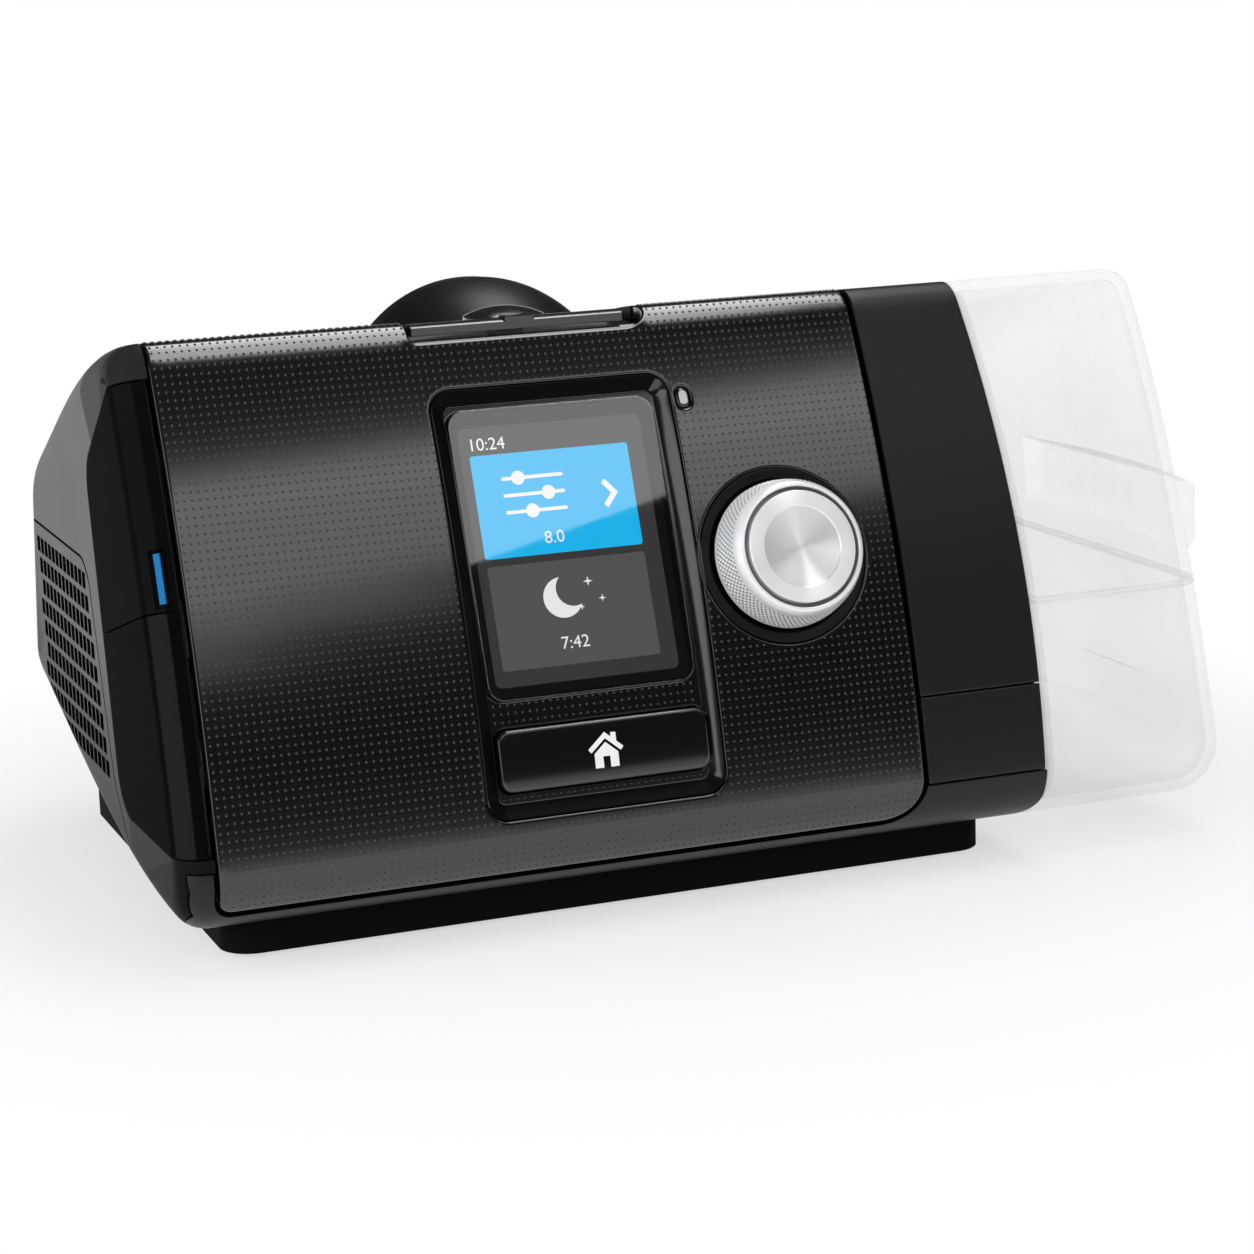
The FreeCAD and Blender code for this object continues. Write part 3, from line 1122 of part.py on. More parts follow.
def tub_end_block(inset):
    """The tub's end in the machine's own profile, with its outer edges rounded."""
    block = prism(f"tub_profile_{int(10 * inset)}", inset, dim("tub_low_x") - 50, dim("tub_low_x") + 20).Shape
    block = block.common(behind_tub_side(inset))
    side = max(block.Faces, key=lambda face: face.CenterOfMass.x)
    piece = doc.addObject("Part::Feature", f"tub_block_{int(10 * inset)}")
    piece.Shape = block
    edges = []
    for index, edge in enumerate(block.Edges, start=1):
        if any(edge.isSame(rim) for rim in side.Edges):
            radii = [tub_round(vertex.Point, inset) for vertex in edge.Vertexes]
            edges.append((index, *radii))
    fillet = doc.addObject("Part::Fillet", f"tub_end_{int(10 * inset)}")
    fillet.Base = piece
    fillet.Edges = edges
    doc.recompute()
    return fillet.Shape.cut(left_of_edge(dim("tub_gap") + inset))


def tub_solid(inset):
    """The tub's outside, or its inside moved in by inset: the end block and the neck in the bay."""
    reach = dim("bay_wall") + dim("tub_play") + inset
    neck = box_shape(
        (dim("bay_x") + dim("bay_wall") + 1 + inset, dim("bay_front") + reach, dim("tub_floor") + inset),
        (dim("edge_mid_x") + 8, dim("bay_back") - reach, dim("bay_roof") - reach))
    along = [edge for edge in neck.Edges if abs(edge.tangentAt(edge.FirstParameter).x) > 0.9]
    return tub_end_block(inset).fuse(neck.makeFillet(dim("neck_corner") - inset / 2, along))


def tub_grip(low, high, inset):
    """A finger grip on the tub's outer side, bowed outwards in plan."""
    bow = dim("grip_bow")
    grip = box_shape((dim("tub_low_x") - 14, dim("grip_front"), low), (FAR, dim("grip_back"), high))
    mid_x = dim("total_right") - inset - bow
    grip = grip.common(rod_shape(bow, high - low, (mid_x, dim("grip_mid_y"), low), (0, 0, 1)))
    outward = [edge for edge in grip.Edges
               if all(vertex.Point.x > dim("tub_low_x") - 2 for vertex in edge.Vertexes)]
    return grip.makeFillet(dim("grip_corner"), outward)


def make_tub():
    """The clear water tub: base, seal, lid and steel plate, with a finger grip on base and lid."""
    outside = tub_solid(0)
    shell = outside.cut(tub_solid(dim("tub_wall")))
    seam, half = dim("tub_seam"), dim("seal_height") / 2
    low = box_shape((-FAR, -FAR, -FAR), (FAR, FAR, seam - half))
    high = box_shape((-FAR, -FAR, seam + half), (FAR, FAR, FAR))
    middle = box_shape((-FAR, -FAR, seam - half), (FAR, FAR, seam + half))
    x, y = dim("heater_x"), dim("heater_y")
    hole_half = dim("plate_width") / 2
    plate_hole = box_shape((x - hole_half, y - hole_half, 10), (x + hole_half, y + hole_half, 30))
    low_grip = tub_grip(dim("low_grip_low"), dim("low_grip_high"), dim("low_grip_in")).cut(outside)
    high_grip = tub_grip(dim("high_grip_low"), dim("high_grip_high"), 0).cut(outside)
    feature("tub_base", shell.common(low).cut(plate_hole).fuse(low_grip).removeSplitter())
    lid = shell.common(high)
    for radius, place in ((dim("duct_inner"), (dim("bay_x"), dim("duct_y"), dim("duct_high_z"))),
                          (dim("exit_inner"), (dim("bay_x"), dim("exit_y"), dim("port_z")))):
        lid = lid.cut(rod_shape(radius, 10, place, (1, 0, 0)))
    feature("tub_lid", lid.fuse(high_grip).removeSplitter())
    feature("tub_seal", shell.common(middle))
    inset = dim("plate_inset")
    steel = box_shape((x - hole_half + inset, y - hole_half + inset, dim("tub_floor") + 0.05),
                      (x + hole_half - inset, y + hole_half - inset, dim("tub_floor") + dim("tub_wall")))
    feature("tub_steel_plate", steel)


# ---------------------------------------------------------------- rear wall
def make_rear_parts():
    """The power inlet with its pins, and the clip that swings down over the plug."""
    x, z, depth = dim("inlet_x"), dim("inlet_z"), dim("inlet_depth")
    wall_frame = rear_place(x, z, 0)
    body = rounded_plate(dim("inlet_width"), dim("inlet_height"), depth + 0.2, dim("inlet_corner"),
                         Placement(Vector(0, 0, -depth), Rotation()))
    flange = rounded_plate(dim("flange_width"), dim("flange_height"), dim("flange_thick"),
                           dim("inlet_corner"), Placement(Vector(0, dim("flange_rise"), 0), Rotation()))
    thick, ear = dim("clip_thick"), dim("clip_ear")
    rise, barrel = dim("clip_rise"), dim("clip_barrel")
    pin_high = dim("flange_thick") + GAP + barrel
    rim = dim("clip_width") / 2 + GAP
    inlet = body.fuse(flange)
    for left in (-rim - ear, rim):
        far = (left + ear, rise + barrel, pin_high + barrel)
        inlet = inlet.fuse(box_shape((left, rise - barrel, 0), far))
    bearing = rod_shape(dim("clip_pin") + dim("running_gap"), FAR, (-FAR / 2, rise, pin_high), (1, 0, 0))
    socket = rounded_plate(dim("socket_width"), dim("socket_height"), FAR, dim("inlet_corner"),
                           Placement(Vector(0, 0, -dim("socket_depth")), Rotation()))
    inlet = inlet.cut(socket).cut(bearing)
    pins = []
    for step in (-1, 0, 1):
        start = (step * dim("pin_pitch"), 0, -dim("socket_depth"))
        pins.append(rod_shape(dim("pin_radius"), dim("pin_length"), start, (0, 0, 1)))
    plate_low = pin_high - barrel
    half = dim("clip_width") / 2
    clip = box_shape((-half, rise, plate_low), (half, rise + dim("clip_length"), plate_low + thick))
    clip = clip.fuse(rod_shape(barrel, 2 * half, (-half, rise, pin_high), (1, 0, 0)))
    span = 2 * (rim + ear)
    clip = clip.fuse(rod_shape(dim("clip_pin"), span, (-span / 2, rise, pin_high), (1, 0, 0)))
    for label, shape in (("power_inlet", inlet.removeSplitter()), ("inlet_pins", Part.makeCompound(pins)),
                         ("cord_clip", clip.removeSplitter())):
        shape.Placement = wall_frame
        feature(label, shape)


# ---------------------------------------------------------------- foot
def make_foot():
    """The foot under the keel, its screws and rubber pads."""
    low, floor, wall = dim("foot_low"), dim("foot_floor"), dim("foot_wall")

    def block(inset, bottom):
        solid = box_shape((dim("foot_left") + inset, dim("foot_front") + inset, bottom),
                          (dim("foot_right") - inset, dim("foot_back") - inset, dim("foot_high")))
        upright = [edge for edge in solid.Edges if abs(edge.tangentAt(edge.FirstParameter).z) > 0.9]
        return solid.makeFillet(dim("foot_corner") - inset, upright)

    foot = block(0, low).cut(block(wall, low + floor)).cut(envelope)
    head_high, shank = dim("screw_head_high"), dim("screw_radius")
    screws, pads = [], []
    for x, y in foot_corners(dim("screw_inset")):
        head = rod_shape(dim("screw_head"), head_high, (x, y, low), (0, 0, 1))
        screw = head.fuse(rod_shape(shank, dim("screw_length"), (x, y, low + head_high), (0, 0, 1)))
        foot = foot.cut(screw)
        screws.append(screw)
    for x, y in foot_corners(dim("pad_inset")):
        pads.append(rod_shape(dim("pad_radius"), low, (x, y, 0), (0, 0, 1)))
    feature("foot_base", foot)
    feature("foot_screws", Part.makeCompound(screws))
    feature("rubber_feet", Part.makeCompound(pads))


# ---------------------------------------------------------------- the whole machine
def build():
    make_fascia()
    make_bay_cover()
    make_main_housing()
    make_base_tray()
    make_left_frame()
    make_covers()
    make_filter_side()
    make_face_parts()
    make_dial()
    make_start_key()
    make_card_parts()
    make_blower()
    make_ducts()
    make_outlet()
    make_bay()
    make_tub()
    make_rear_parts()
    make_foot()
    doc.recompute()


def check_document():
    """Stops if any object failed, or if any sub-part has no valid shape."""
    for item in doc.Objects:
        if {"Invalid", "Error"} & set(item.State):
            raise RuntimeError(f"{item.Label} failed: {item.State}")
    for piece in nodes:
        if piece.Shape.isNull() or not piece.Shape.isValid() or not piece.Shape.Solids:
            raise RuntimeError(f"{piece.Label} has no valid solid")


def write_parts():
    os.makedirs("parts", exist_ok=True)
    for piece in nodes:
        piece.Shape.exportStep(f"parts/{piece.Label}.step")
        box = piece.Shape.optimalBoundingBox()
        print(f"{piece.Label:18s} solids {len(piece.Shape.Solids):2d}  volume {piece.Shape.Volume:10.1f}  "
              f"x {box.XMin:7.1f} {box.XMax:7.1f}  y {box.YMin:6.1f} {box.YMax:6.1f}  "
              f"z {box.ZMin:6.1f} {box.ZMax:6.1f}")
    print(len(nodes), "sub-parts")


build()
check_document()
write_parts()
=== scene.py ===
# %% [markdown]
# # A bedside CPAP machine
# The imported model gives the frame: every rigid piece already has its real place and size. This lesson
# dresses it. Pieces that show a curved, glossy or textured surface are worked out again as fine numpy
# surfaces, because a smooth reflection needs many more points than a collision model holds.

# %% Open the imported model
import json
import math

import bpy
import numpy as np
from mathutils import Matrix, Quaternion, Vector
from mathutils.geometry import delaunay_2d_cdt


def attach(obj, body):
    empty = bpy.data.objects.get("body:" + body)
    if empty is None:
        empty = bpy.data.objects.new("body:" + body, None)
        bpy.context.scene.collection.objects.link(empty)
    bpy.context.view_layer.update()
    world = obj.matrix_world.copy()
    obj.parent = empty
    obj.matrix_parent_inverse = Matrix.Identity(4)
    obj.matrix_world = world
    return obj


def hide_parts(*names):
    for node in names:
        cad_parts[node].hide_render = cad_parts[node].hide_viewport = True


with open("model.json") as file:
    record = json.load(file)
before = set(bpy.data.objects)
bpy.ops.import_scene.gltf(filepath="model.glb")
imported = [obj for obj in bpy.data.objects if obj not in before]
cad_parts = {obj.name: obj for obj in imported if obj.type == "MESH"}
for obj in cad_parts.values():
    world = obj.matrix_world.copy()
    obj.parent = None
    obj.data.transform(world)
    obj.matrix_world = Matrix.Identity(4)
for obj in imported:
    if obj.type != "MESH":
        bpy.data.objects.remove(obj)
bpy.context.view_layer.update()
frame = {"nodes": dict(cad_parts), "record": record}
nodes = frame["nodes"]
MM = 0.001
node_slots = {part["node"]: part["material_slot"] for part in frame["record"]["subparts"]}
print("nodes:", len(nodes), "slots:", len(set(node_slots.values())))

# %% [markdown]
# ## The side profile
# The whole machine is one side profile pushed from left to right. The profile is a chain of circle arcs,
# each touching the next: keel, chin, face, ridge, deck. A point on the skin is then a function of two
# numbers, x across the machine and s, the distance walked up the profile from under the chin.

# %% The chain of arcs
FACE = (191.3, -28.5, 270.0)
DECK = (-72.9, -154.5, 260.0)
KEEL = (-64.65, 427.0, 420.0)
CHIN_RADIUS, RIDGE_RADIUS = 10.0, 5.5


def nested_centre(first, second, radius, side):
    """A circle that touches two bigger ones from inside is centred (R - r) from each of their centres,
    so its centre is where two circles of those radii meet."""
    reach_a, reach_b = first[2] - radius, second[2] - radius
    span = np.subtract(second[:2], first[:2])
    length = math.hypot(*span)
    along = (length ** 2 + reach_a ** 2 - reach_b ** 2) / (2 * length)
    off = side * math.sqrt(reach_a ** 2 - along ** 2)
    unit = span / length
    return (first[0] + along * unit[0] - off * unit[1], first[1] + along * unit[1] + off * unit[0], radius)


CHIN = nested_centre(FACE, KEEL, CHIN_RADIUS, 1)
RIDGE = nested_centre(FACE, DECK, RIDGE_RADIUS, -1)


def touch_angle(small, big):
    """The direction from the big circle's centre to the small one's, where both touch."""
    return math.atan2(small[1] - big[1], small[0] - big[0]) % (2 * math.pi)


joints = [touch_angle(CHIN, KEEL), touch_angle(CHIN, FACE),
          touch_angle(RIDGE, FACE), touch_angle(RIDGE, DECK)]
ARCS = np.array([(*CHIN, joints[0]), (*FACE, joints[1]), (*RIDGE, joints[2]), (*DECK, joints[3])])
arc_lengths = [arc[2] * (start - end) for arc, start, end in zip((CHIN, FACE, RIDGE), joints, joints[1:])]
STARTS = np.concatenate([[0.0], np.cumsum(arc_lengths)])
print("profile lengths in mm:", np.round(STARTS, 1))


# %% Points on the skin
def skin(x, s, depth=0.0):
    """Point = centre of the arc that holds s, plus (radius - depth) times the direction at angle
    start - (s - s_start) / radius. The depth runs inwards from the skin."""
    x, s, depth = np.broadcast_arrays(*np.atleast_1d(x, s, depth))
    index = np.clip(np.searchsorted(STARTS, s, side="right") - 1, 0, len(ARCS) - 1)
    centre_y, centre_z, radius, start = np.moveaxis(ARCS[index], -1, 0)
    angle = start - (s - STARTS[index]) / radius
    reach = radius - depth
    return np.stack([x, centre_y + reach * np.cos(angle), centre_z + reach * np.sin(angle)], axis=-1) * MM


DECK_WALK, SAMPLES = 40, 4000
s_samples = np.linspace(0, STARTS[-1] + DECK_WALK, SAMPLES)
walk = skin(0.0, s_samples)[:, 1:] / MM
top = int(np.argmax(walk[:, 1]))


def s_at_height(z):
    """Distance along the profile at a height, read off the walked samples up to the ridge's top."""
    return np.interp(z, walk[:top, 1], s_samples[:top])


def s_at_depth(y):
    """Distance along the profile at a place on the deck."""
    return np.interp(y, walk[top:, 0], s_samples[top:])


def face_frame(x, z):
    """A flat frame on the face: its origin, and its right, up and outward directions."""
    lean = math.asin((z - FACE[1]) / FACE[2])
    right, up = Vector((1, 0, 0)), Vector((0, math.sin(lean), math.cos(lean)))
    origin = Vector((x, FACE[0] - FACE[2] * math.cos(lean), z)) * MM
    return np.array(origin), np.array([right, up, right.cross(up)])


def on_plane(x, z, height=0.0):
    """A map from flat (u, v) and depth to space: origin + u right + v up + (height - depth) outward."""
    origin, axes = face_frame(x, z)

    def place(u, v, depth=0.0):
        u, v, depth = np.broadcast_arrays(*np.atleast_1d(u, v, depth))
        return origin + np.stack([u, v, height - depth], axis=-1) @ axes * MM
    return place


face_lean = math.asin((60 - FACE[1]) / FACE[2])
print("the face leans back", round(math.degrees(face_lean), 1), "degrees 60 mm above the table")

# %% [markdown]
# ## Sheets cut from the skin
# Covers and plates are sheets with rounded outlines and holes. The outline is drawn flat, in x and s, and
# triangulated there together with a grid of inner points; the skin function then bends everything at once.
# The edge is rolled over by a few rings of points, so it catches light as a moulded edge does.


# %% Outlines
ARC_STEP, STRAIGHT, SHARPEST = 0.5, 1.55, 0.8


def spokes(angle):
    """Unit directions at the angles, as rows of cosine and sine."""
    return np.stack([np.cos(angle), np.sin(angle)], axis=1)


def full_turn(count):
    """Equal steps of angle once round."""
    return np.linspace(0, 2 * math.pi, count, endpoint=False)


def refine(loop, spacing):
    """Splits every side of a closed loop that is longer than the spacing into equal steps."""
    pieces = []
    for start, end in zip(loop, np.roll(loop, -1, 0)):
        count = max(1, math.ceil(math.dist(start, end) / spacing))
        pieces.append(start + (end - start) * np.arange(count)[:, None] / count)
    return np.concatenate(pieces)


def rounded(corners, radii, spacing):
    """A closed outline through corners, counter-clockwise. Each corner is an arc tangent to its two
    sides: the centre lies radius / sin(half angle) along the bisector."""
    corners = np.asarray(corners, float)
    points = []
    for corner, before, after, radius in zip(corners, np.roll(corners, 1, 0), np.roll(corners, -1, 0), radii):
        one, two = before - corner, after - corner
        one, two = one / math.hypot(*one), two / math.hypot(*two)
        half = math.acos(np.clip(one @ two, -1, 1)) / 2
        if radius < 1e-6 or half > STRAIGHT:
            points.append(corner[None])
            continue
        bisector = (one + two) / math.hypot(*(one + two))
        centre = corner + bisector * radius / math.sin(half)
        first = corner + one * radius / math.tan(half) - centre
        last = corner + two * radius / math.tan(half) - centre
        turn = math.atan2(first[0] * last[1] - first[1] * last[0], first @ last)
        count = max(5, int(abs(turn) * radius / ARC_STEP) + 2)
        points.append(centre + radius * spokes(math.atan2(first[1], first[0]) + np.linspace(0, turn, count)))
    return refine(np.concatenate(points), spacing)


def circle(centre, radius, count):
    return np.asarray(centre) + radius * spokes(full_turn(count))


def box_outline(u0, v0, u1, v1, radius, spacing=2.0):
    return rounded([(u0, v0), (u1, v0), (u1, v1), (u0, v1)], [radius] * 4, spacing)


def centred_box(width, height, radius, spacing=2.0, grow=0.0):
    """A rounded rectangle about (0, 0), made larger by `grow` on every side."""
    right, top = width / 2 + grow, height / 2 + grow
    return box_outline(-right, -top, right, top, radius + grow, spacing)


def moved_in(loop, distance):
    """Every point moves to its left by the distance, along the mean of its two side normals. The reach
    is bounded where the sides meet at a sharp corner."""
    ahead = np.roll(loop, -1, 0) - loop
    ahead /= np.linalg.norm(ahead, axis=1)[:, None]
    normal = np.stack([-ahead[:, 1], ahead[:, 0]], axis=1)
    mean = normal + np.roll(normal, 1, 0)
    return loop + distance * 2 * mean / np.maximum((mean ** 2).sum(1), SHARPEST)[:, None]


def inside(points, loop):
    """Even-odd rule: a point is inside if a ray to its right crosses the loop an odd number of times."""
    a, b = loop, np.roll(loop, -1, 0)
    y = points[:, 1:2]
    spans = (a[:, 1] > y) != (b[:, 1] > y)
    rise = np.where(b[:, 1] == a[:, 1], 1e-12, b[:, 1] - a[:, 1])
    cross_x = a[:, 0] + (y - a[:, 1]) / rise * (b[:, 0] - a[:, 0])
    return (spans & (points[:, 0:1] < cross_x)).sum(1) % 2 == 1


def on_sheet(points, outline, *openings):
    """True for points inside the outline and outside every opening."""
    keep = inside(points, outline)
    for opening in openings:
        keep &= ~inside(points, opening)
    return keep


def cut_out(outline, openings):
    """An outline with its holes. A hole runs the other way round, so the material stays on its left."""
    return [outline] + [opening[::-1] for opening in openings]


sample = centred_box(40, 20, 3)
print("a 40 x 20 mm box with 3 mm corners has", len(sample), "points and reaches", sample.max(0))

# %% Triangles
BORDER_ROOM = 0.45


def triangulate(loops, columns, rows):
    """Constrained Delaunay triangles of the area inside the first loop and outside the others, with the
    grid points that lie well inside. Returns flat points, triangles and each loop's point numbers."""
    grid = np.stack(np.meshgrid(columns, rows), axis=-1).reshape(-1, 2)
    borders = np.concatenate(loops)
    grid = grid[on_sheet(grid, *loops)]
    near = min(np.diff(columns).min(), np.diff(rows).min()) * BORDER_ROOM
    far_off = np.ones(len(grid), bool)
    for part in np.array_split(borders, max(1, len(borders) // 200)):
        far_off &= ((grid[:, None] - part) ** 2).sum(-1).min(1) > near ** 2
    flat = np.concatenate([borders, grid[far_off]])
    edges, offset = [], 0
    for loop in loops:
        numbers = np.arange(len(loop)) + offset
        edges += np.stack([numbers, np.roll(numbers, -1)], axis=1).tolist()
        offset += len(loop)
    points, _, faces, origins, _, _ = delaunay_2d_cdt([Vector(p) for p in flat], edges, [], 0, 1e-7)
    points = np.array([tuple(p) for p in points])
    faces = np.array([face for face in faces if len(face) == 3])
    faces = faces[on_sheet(points[faces].mean(1), *loops)]
    corner = points[faces]
    area = np.cross(corner[:, 1] - corner[:, 0], corner[:, 2] - corner[:, 0])
    faces[area < 0] = faces[area < 0][:, ::-1]
    place_of = np.full(len(flat), -1)
    for new, olds in enumerate(origins):
        place_of[olds] = new
    numbers = np.split(place_of[:len(borders)], np.cumsum([len(loop) for loop in loops])[:-1])
    return points, faces, numbers


# %% Meshes
def placed(name, data):
    """Puts a mesh, lamp, camera or text into the scene."""
    thing = bpy.data.objects.new(name, data)
    bpy.context.scene.collection.objects.link(thing)
    return thing


def mesh_from(name, points, faces):
    mesh = bpy.data.meshes.new(name)
    mesh.from_pydata(np.asarray(points).tolist(), [], [list(map(int, face)) for face in faces])
    return mesh


def new_piece(name, points, faces, body, material, replaced=(), sharp=40):
    """A mesh object from point and face arrays, smooth except where faces meet at more than `sharp`."""
    mesh = mesh_from(name, points, faces)
    mesh.validate()
    mesh.shade_smooth()
    mesh.set_sharp_from_angle(angle=math.radians(sharp))
    mesh.materials.append(material)
    piece = placed(name, mesh)
    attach(piece, body)
    if replaced:
        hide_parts(*replaced)
    print(f"{name}: {len(mesh.vertices)} points, {len(mesh.polygons)} faces")
    return piece


def rows_of(items, what):
    """One vector of every vertex or face, as rows: a place, a centre or a normal."""
    values = np.zeros(len(items) * 3)
    items.foreach_get(what, values)
    return values.reshape(-1, 3)


def repaint(piece, material, chosen):
    """Gives the chosen faces a second material."""
    piece.data.materials.append(material)
    piece.data.polygons.foreach_set("material_index", chosen.astype(int))


# %% Sheets with a rolled edge
ROLL_STEPS, LEVEL_BORDER = 4, 1.6


def ring_quads(one, two):
    """Quads between two rings of the same length, facing away from the material."""
    return np.stack([one, two, np.roll(two, -1), np.roll(one, -1)], axis=1)


def sheet_arrays(loops, place, thick, edge, columns, rows):
    """A closed sheet: the front is the triangulation of the loops moved in by the edge radius and a narrow
    level border, which keeps the shading flat up to the edge; the rim is quarter-circle rings, offset
    edge*sin(t) and depth edge*(1 - cos(t)); the back is the front again."""
    flat, faces, numbers = triangulate([moved_in(loop, edge * LEVEL_BORDER) for loop in loops], columns, rows)
    count = len(flat)
    points = [place(flat[:, 0], flat[:, 1], 0.0), place(flat[:, 0], flat[:, 1], thick)]
    total, quads = 2 * count, []
    for loop, ids in zip(loops, numbers):
        start, previous = moved_in(loop, edge), ids
        rings = [(start + (loop - start) * math.sin(turn), edge * (1 - math.cos(turn)))
                 for turn in np.linspace(0, math.pi / 2, ROLL_STEPS + 1)]
        for ring, depth in rings + [(loop, thick)]:
            points.append(place(ring[:, 0], ring[:, 1], depth))
            current = np.arange(len(loop)) + total
            total += len(loop)
            quads.append(ring_quads(previous, current))
            previous = current
        quads.append(ring_quads(previous, ids + count))
    return np.concatenate(points), [*faces, *(faces[:, ::-1] + count), *np.concatenate(quads)]


# %% [markdown]
# ## Finishes
# Every finish is one Principled shader whose colour, roughness and surface wobble come from noise in the
# object's own coordinates. Black plastics differ mostly in roughness: the fascia is polished, the covers
# are satin, the foot is matte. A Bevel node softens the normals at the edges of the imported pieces.


# %% Shader nodes
def fill(tree, node, sockets):
    """Gives each socket of a node its value, or links it to the other node's output that is given."""
    for socket, value in sockets.items():
        if isinstance(value, bpy.types.NodeSocket):
            tree.links.new(value, node.inputs[socket])
        else:
            node.inputs[socket].default_value = value


def add(tree, kind, output=0, sockets=None, **settings):
    """Adds a shader node with its settings and sockets, and returns one of its outputs."""
    node = tree.nodes.new("ShaderNode" + kind)
    for setting, value in settings.items():
        setattr(node, setting, value)
    fill(tree, node, sockets or {})
    return node.outputs[output]


def shader_tree(name):
    material = bpy.data.materials.new(name)
    material.use_nodes = True
    tree = material.node_tree
    return material, tree, tree.nodes["Principled BSDF"]


def noise(tree, scale, detail=2.0):
    """Noise in object coordinates, with its scale in waves per metre."""
    place = add(tree, "TexCoord", "Object")
    return add(tree, "TexNoise", "Fac", {"Scale": scale, "Detail": detail, "Vector": place})


def between(tree, factor, low, high, start=0.0, end=1.0, way="LINEAR"):
    """Maps a factor from start to end to the span low to high, and holds it beyond."""
    return add(tree, "MapRange", "Result", {"Value": factor, "From Min": start, "From Max": end,
                                            "To Min": low, "To Max": high}, interpolation_type=way)


def combined(tree, operation, one, two, **settings):
    """Two factors multiplied, subtracted or compared."""
    return add(tree, "Math", 0, {0: one, 1: two}, operation=operation, **settings)


def tinted(tree, factor, dark, light):
    """A colour between two tints."""
    return add(tree, "Mix", "Result", {"A": (*dark, 1), "B": (*light, 1), "Factor": factor}, data_type="RGBA")


def dimmed(tree, shader, factor):
    """Multiplies the base colour that a shader has so far by a factor."""
    colour = shader.inputs["Base Color"].links[0].from_socket
    scaled = add(tree, "VectorMath", "Vector", {0: colour, "Scale": factor}, operation="SCALE")
    fill(tree, shader, {"Base Color": scaled})


# %% A moulded finish
DRIFT_SCALE, ROUGHNESS_SWING, BUMP_STRENGTH = 45, 0.12, 0.6


def moulded(name, colour, roughness, grain, grain_scale, edge=0.3, metallic=0.0, variation=0.12,
            coat=0.0, shine=0.5, coat_roughness=None):
    """Plastic or metal: colour and roughness drift by `variation`, and fine noise of height `grain` in mm
    gives the mould's texture. A coat is a second, glossier reflection; shine scales the first one."""
    material, tree, shader = shader_tree(name)
    colour = np.array(colour)
    drift, fine = noise(tree, DRIFT_SCALE, 3.0), noise(tree, grain_scale * 0.4)
    relief = {"Height": noise(tree, grain_scale, 1.0), "Strength": BUMP_STRENGTH,
              "Distance": max(grain, 0.002) * MM}
    if edge:
        relief["Normal"] = add(tree, "Bevel", "Normal", {"Radius": edge * MM}, samples=4)
    less, more = roughness * (1 - ROUGHNESS_SWING), roughness * (1 + ROUGHNESS_SWING)
    fill(tree, shader, {
        "Base Color": tinted(tree, drift, colour * (1 - variation), colour * (1 + variation)),
        "Roughness": between(tree, fine, less, more),
        "Metallic": metallic, "Specular IOR Level": shine, "Coat Weight": coat,
        "Coat Roughness": coat_roughness or roughness * 0.7, "Normal": add(tree, "Bump", "Normal", relief)})
    return material


fascia_black = moulded("fascia_black", (0.002, 0.002, 0.0022), 0.19, 0.003, 3000, edge=0, coat=1.0,
                       coat_roughness=0.12)
# The dots' black is a little lighter than the fascia's: a painted highlight, so they show as pale specks
# where the face mirrors dark.
dot_black = moulded("dot_black", (0.006, 0.006, 0.0065), 0.12, 0.002, 3000, edge=0, coat=0.9)
gloss_black = moulded("gloss_black", (0.003, 0.003, 0.0033), 0.14, 0.002, 2500, coat=1.0)
painted_shade_black = moulded("painted_shade_black", (0.003, 0.003, 0.0032), 0.4, 0.004, 2500, edge=0, shine=0.03)
key_black = moulded("key_black", (0.006, 0.006, 0.0065), 0.22, 0.004, 2500, coat=1.0)
satin_black = moulded("satin_black", (0.003, 0.003, 0.0033), 0.41, 0.02, 5200, shine=0.4)
card_black = moulded("card_black", (0.006, 0.006, 0.0065), 0.5, 0.02, 5200, shine=0.002)
adapter_black = moulded("adapter_black", (0.013, 0.013, 0.0135), 0.5, 0.02, 5200, shine=0.002)
slot_painted_shade = moulded("slot_painted_shade", (0.003, 0.003, 0.0033), 0.7, 0.01, 5200, edge=0, shine=0.02)
matte_black = moulded("matte_black", (0.006, 0.006, 0.0065), 0.6, 0.03, 4200, shine=0.01)
end_grey = moulded("end_grey", (0.115, 0.1155, 0.118), 0.45, 0.02, 5200, shine=0.03)
catch_blue = moulded("catch_blue", (0.0, 0.14, 0.36), 0.3, 0.004, 3000, edge=0.05, shine=0.2)
inner_grey = moulded("inner_grey", (0.17, 0.18, 0.19), 0.5, 0.02, 3000)
wheel_white = moulded("wheel_white", (0.78, 0.78, 0.76), 0.45, 0.02, 3000)
board_green = moulded("board_green", (0.02, 0.16, 0.06), 0.35, 0.02, 2500)
rubber_grey = moulded("rubber_grey", (0.045, 0.045, 0.048), 0.75, 0.03, 4000)
foam_grey = moulded("foam_grey", (0.07, 0.07, 0.075), 0.95, 0.5, 900, edge=0)
steel = moulded("steel", (0.55, 0.56, 0.57), 0.3, 0.004, 2500, metallic=1.0)
contact_brass = moulded("contact_brass", (0.83, 0.62, 0.27), 0.28, 0.004, 2500, metallic=1.0)
coil_copper = moulded("coil_copper", (0.74, 0.36, 0.19), 0.35, 0.02, 2500, metallic=1.0)
bright_metal = moulded("bright_metal", (0.88, 0.883, 0.886), 0.3, 0.002, 4000, edge=0, metallic=0.48,
                       variation=0.03)
print(len(bpy.data.materials), "moulded and metal finishes")
